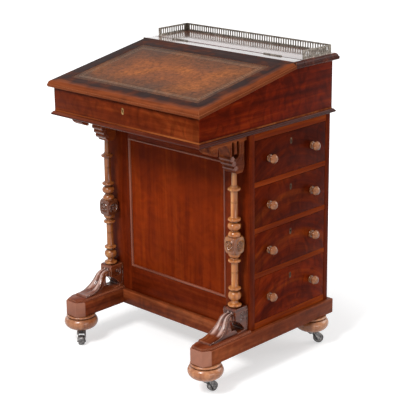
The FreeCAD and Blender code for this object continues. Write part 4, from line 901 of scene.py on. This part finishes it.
# Lid: a mitred mahogany frame with thumb-moulded edges round the leather, on a plain core panel.
# It is dark and inky near the leather, and worn to the red wood along the outer edges.
def three_tones(finish, share, low, high, *colours):
    """Three colours spread over a pattern, from its low places to its high ones."""
    return finish.tones(share, *zip((low, 0.5, high), (shade(*colour) for colour in colours)))


def slope_wood(name):
    """The lid's polish: inky by the leather, rubbed to bare red wood at the rim."""
    finish = Finish(name, Specular_IOR_Level=0.015)
    place = finish.lay("own")
    figure = finish.cloud(place, (2, 18, 18), 5, 1.0)
    streaks = finish.cloud(place, (8, 160, 160), 4, 0.3)
    tone = finish.weighed(figure, 0.55, streaks)
    inky = three_tones(finish, tone, 0.34, 0.68, (32, 18, 16), (42, 24, 21), (60, 34, 28))
    red = three_tones(finish, tone, 0.34, 0.68, (98, 46, 24), (120, 60, 33), (144, 80, 48))
    patches = finish.cloud(finish.lay("x"), (22, 22, 22), 5)
    ragged = finish.spread(patches, 0.35, 0.65, -0.25, 0.25)
    rim = finish.reckon("ADD", finish.spread(finish.mark("reach"), 20 * MM, 42 * MM), ragged)
    colour = finish.blend(finish.layer("Clamp", {0: rim}), inky, red)
    colour = finish.blend(finish.reckon("MULTIPLY", finish.arris(1.5 * MM), 0.7), colour, shade(178, 112, 74))
    roughness = finish.spread(patches, 0.3, 0.7, 0.3, 0.5)
    return finish.done(colour, roughness, streaks, 0.05 * MM)


lid_low, lid_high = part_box("lid_frame")
lid_half, lid_thickness, slope = lid_high.x, 18 * MM, math.radians(10.6)
apex_y, desk_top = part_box("lid_hinge_rail")[0].y, lid_high.z
border, ovolo, step, nose = 49 * MM, 9 * MM, 2 * MM, 4 * MM
slope_length = (apex_y - lid_low.y + ovolo * math.sin(slope)) / math.cos(slope)
on_slope = Matrix.Translation((0, apex_y, desk_top)) @ Matrix.Rotation(slope, 4, "X")
bevel = lid_thickness * math.tan(slope / 2)
round_share = 1 - math.sqrt(0.5)
lip = 0.6 * MM
moulded = [(0, -lid_thickness), (border - nose, -lid_thickness),
           *bow((border - nose, -lid_thickness), (border, nose - lid_thickness), nose * round_share, 6),
           (border, -ovolo), (border - step, -ovolo),
           *bow((border - step, -ovolo), (border - step - ovolo, 0), ovolo * round_share, 10),
           (lip, 0), (0, -lip)]
plain = [(0, -lid_thickness), (border - bevel, -lid_thickness), (border, 0), (lip, 0), (0, -lip)]
leather_low = (border - lid_half, border - slope_length)
leather_high = (lid_half - border, -border)
members = mitred([moulded, moulded, plain, moulded], leather_low, leather_high)
for member, rubbing in zip(members, (1.0, 0.94, 0.36, 0.5)):
    member.reach *= rubbing
framing = [member.placed(on_slope) for member in members]
make("lid_framing", framing, "lid", slope_wood("lid_polish"), ["lid_frame"])
dress(lining_x, "lid_panel")


# Leather: a tan skiver glued down inside the lid's frame, tooled with a double line and a roll between.
# The hands of many writers have worn it pale in the middle and left it dark and mottled round the border.
def old_leather(name):
    finish = Finish(name, Specular_IOR_Level=0.08)
    place = finish.layer("TexCoord", {}, 3)
    drift = finish.cloud(place, (7, 7, 7), 4, 0.6)
    mottle = finish.cloud(place, (95, 95, 95), 6, 0.8)
    tan = three_tones(finish, drift, 0.34, 0.66, (98, 52, 24), (121, 66, 32), (142, 82, 43))
    stained = three_tones(finish, drift, 0.34, 0.66, (56, 35, 23), (74, 46, 30), (92, 58, 38))
    wander = finish.reckon("ADD", finish.mark("reach"), finish.spread(drift, 0.3, 0.7, -14 * MM, 14 * MM))
    colour = finish.blend(finish.spread(wander, 4 * MM, 100 * MM), stained, tan)
    colour = finish.dappled(colour, finish.spread(mottle, 0.35, 0.65, 0.62, 1.36))
    spots = finish.spread(finish.cloud(place, (240, 240, 240), 4), 0.62, 0.72, 0.0, 0.5)
    colour = finish.blend(spots, colour, shade(84, 56, 42))
    tooling = finish.reckon("MULTIPLY", finish.mark("tooled"), 0.75)
    colour = finish.blend(tooling, colour, shade(168, 142, 118))
    grain = finish.layer("TexVoronoi", {"Vector": place, "Scale": 900.0})
    relief = finish.reckon("ADD", finish.reckon("MULTIPLY", grain, 0.6), mottle)
    roughness = finish.spread(drift, 0.3, 0.7, 0.42, 0.62)
    return finish.done(colour, roughness, relief, 0.12 * MM)


tool_lines = (14 * MM, 20 * MM)
line_half, line_depth, sink = 0.7 * MM, 0.35 * MM, 0.25 * MM


def stations(low, high):
    """Places across the skin: even steps, with closer ones at each tooled line."""
    places = list(np.arange(low, high, 5 * MM)) + [high]
    for line in tool_lines:
        for side, edge in ((1, low), (-1, high)):
            places += [edge + side * (line + part * line_half) for part in (-1.4, -0.7, 0, 0.7, 1.4)]
    return np.unique(np.round(places, 6))


across, along = stations(leather_low[0], leather_high[0]), stations(leather_low[1], leather_high[1])
grid_x, grid_y = np.meshgrid(across, along)
rim = np.minimum.reduce([grid_x - leather_low[0], leather_high[0] - grid_x, grid_y - leather_low[1],
                         leather_high[1] - grid_y])
tooled = sum(np.clip(1 - ((rim - line) / line_half) ** 2, 0, 1) for line in tool_lines)
surface = -sink - line_depth * tooled - 0.4 * MM * np.clip(1 - rim / (1.5 * MM), 0, 1)
points = np.stack([grid_x, grid_y, surface], -1).reshape(-1, 3)
wide = len(across)
corner_of = [row * wide + place for row in range(len(along) - 1) for place in range(wide - 1)]
faces = [(corner, corner + 1, corner + wide + 1, corner + wide) for corner in corner_of]
first = len(points)
edge = [*range(wide), *range(2 * wide - 1, first, wide), *range(first - 2, first - wide - 1, -1),
        *range(first - 2 * wide, 0, -wide)]
skin_thickness = 1.4 * MM
under = points[edge]
under[:, 2] = -skin_thickness
faces += [(edge[place], edge[(place + 1) % len(edge)], first + (place + 1) % len(edge), first + place)
          for place in range(len(edge))]
faces.append(tuple(range(first, first + len(edge))))
skin = Stock(np.concatenate([points, under]), faces, 0)
skin.reach = np.concatenate([rim.ravel(), np.zeros(len(edge))])
hide = old_leather("old_leather")
leather = make("writing_leather", [skin.placed(on_slope)], "lid", hide, ["leather"], soft_crease)
tool_marks = leather.data.attributes.new("tooled", "FLOAT", "POINT")
tool_marks.data.foreach_set("value", np.concatenate([tooled.ravel(), np.zeros(len(edge))]))


# Hinges and gallery: rolled brass butts in the joint, and a pierced brass gallery round the shelf.
# The gallery is stamped from thin strip, pinned to the shelf, and has darkened to a grey brown.
gallery_brass = old_brass("gallery_brass", (80, 73, 66), (126, 118, 109), (192, 185, 175))
dress(gallery_brass, "gallery", "fixed_hinges", "lid_brassware")


# Studio: a pale floor, a white surround and soft lamps before the desk, over it, at both sides and behind.
# A long panel behind the desk is what the polished shelf mirrors.
def outward(azimuth, elevation):
    """The direction out from the desk, round it from the writer's side and up from the floor."""
    turn, lift = math.radians(azimuth), math.radians(elevation)
    return Vector((math.sin(turn) * math.cos(lift), -math.cos(turn) * math.cos(lift), math.sin(lift)))


def lamp(name, azimuth, elevation, distance, size, power):
    """A soft lamp that looks at the middle of the desk."""
    away = outward(azimuth, elevation)
    light = bpy.data.lights.new(name, "AREA")
    light.shape = "RECTANGLE"
    light.size, light.size_y = size
    light.energy = power
    holder = put(name, light)
    holder.location = (cad_low + cad_high) / 2 + away * distance
    holder.rotation_euler = away.to_track_quat("Z", "Y").to_euler()
    holder.visible_camera = False


lamp("key", 10, 42, 3.0, (0.8, 0.8), 82)
lamp("fill", 78, 6, 3.2, (2.0, 0.9), 21)
lamp("behind", 150, 24, 3.2, (2.0, 1.6), 34)
lamp("left", -88, 18, 3.2, (2.0, 1.4), 11)
lamp("over", 20, 84, 2.8, (2.6, 2.6), 14)
lamp("panel", 224, 17, 3.0, (2.6, 0.9), 1.6)


def background_rays(tree):
    """1 where the eye, a mirror or a glass sees a surface, and 0 where it only lights the desk."""
    rays = tree.nodes.new("ShaderNodeLightPath")
    either = rays.outputs["Is Camera Ray"]
    for ray in ("Is Glossy Ray", "Is Transmission Ray"):
        join = tree.nodes.new("ShaderNodeMath")
        join.operation = "MAXIMUM"
        tree.links.new(either, join.inputs[0])
        tree.links.new(rays.outputs[ray], join.inputs[1])
        either = join.outputs[0]
    return either


world = bpy.data.worlds.new("surround")
bpy.context.scene.world = world
world.use_nodes = True
sky = world.node_tree
seen = sky.nodes["Background"]
seen.inputs["Color"].default_value = (1, 1, 1, 1)
level_of = sky.nodes.new("ShaderNodeMapRange")
room_light = 0.18
level_of.inputs["To Min"].default_value = room_light
sky.links.new(background_rays(sky), level_of.inputs["Value"])
sky.links.new(level_of.outputs[0], seen.inputs["Strength"])

floor_half = 8.0
ground = bpy.data.meshes.new("floor")
ground.from_pydata([(-floor_half, -floor_half, 0), (floor_half, -floor_half, 0), (floor_half, floor_half, 0),
                    (-floor_half, floor_half, 0)], [], [(0, 1, 2, 3)])
near_glow, far_glow, near_floor, far_floor = 0.56, 1.0, 0.45, 1.0
paper = Finish("pale_floor", Base_Color=(0.62, 0.62, 0.62, 1), Roughness=0.9, Emission_Color=(1, 1, 1, 1))
away = paper.layer("VectorMath", {0: paper.layer("TexCoord", {}, 3)}, 1, operation="LENGTH")
whiter = paper.spread(away, near_floor, far_floor, near_glow, far_glow)
glow = paper.reckon("MULTIPLY", background_rays(paper.tree), whiter)
paper.tree.links.new(glow, paper.surface.inputs["Emission Strength"])
ground.materials.append(paper.material)
floor = put("floor", ground)
floor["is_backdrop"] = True


# Camera: where the photograph was taken from, fitted to the desk's corners.
# The image is 400 pixels square, and the lens axis falls a little left of and above its middle.
image_side, focal_pixels, axis_x, axis_y = 400, 1280.76, 198.3, 199.2
azimuth, elevation, tilt = 44.5, 17.36, math.radians(-0.82)
aim, distance = Vector((0, 0.015, 0.4176)), 3.4884
back, level = outward(azimuth, elevation), outward(azimuth + 90, 0)
rise = back.cross(level)
right, up = level * math.cos(tilt) + rise * math.sin(tilt), rise * math.cos(tilt) - level * math.sin(tilt)
view = bpy.data.cameras.new("camera")
view.sensor_width = 36
view.lens = focal_pixels / image_side * view.sensor_width
view.shift_x, view.shift_y = 0.5 - axis_x / image_side, axis_y / image_side - 0.5
camera = put("camera", view)
stand = Matrix((right, up, back)).transposed().to_4x4()
stand.translation = aim + back * distance
camera.matrix_world = stand
bpy.context.scene.camera = camera
bpy.context.scene.view_settings.view_transform = "Standard"


# Size: the box of the dressed desk, in metres.
low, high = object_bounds()
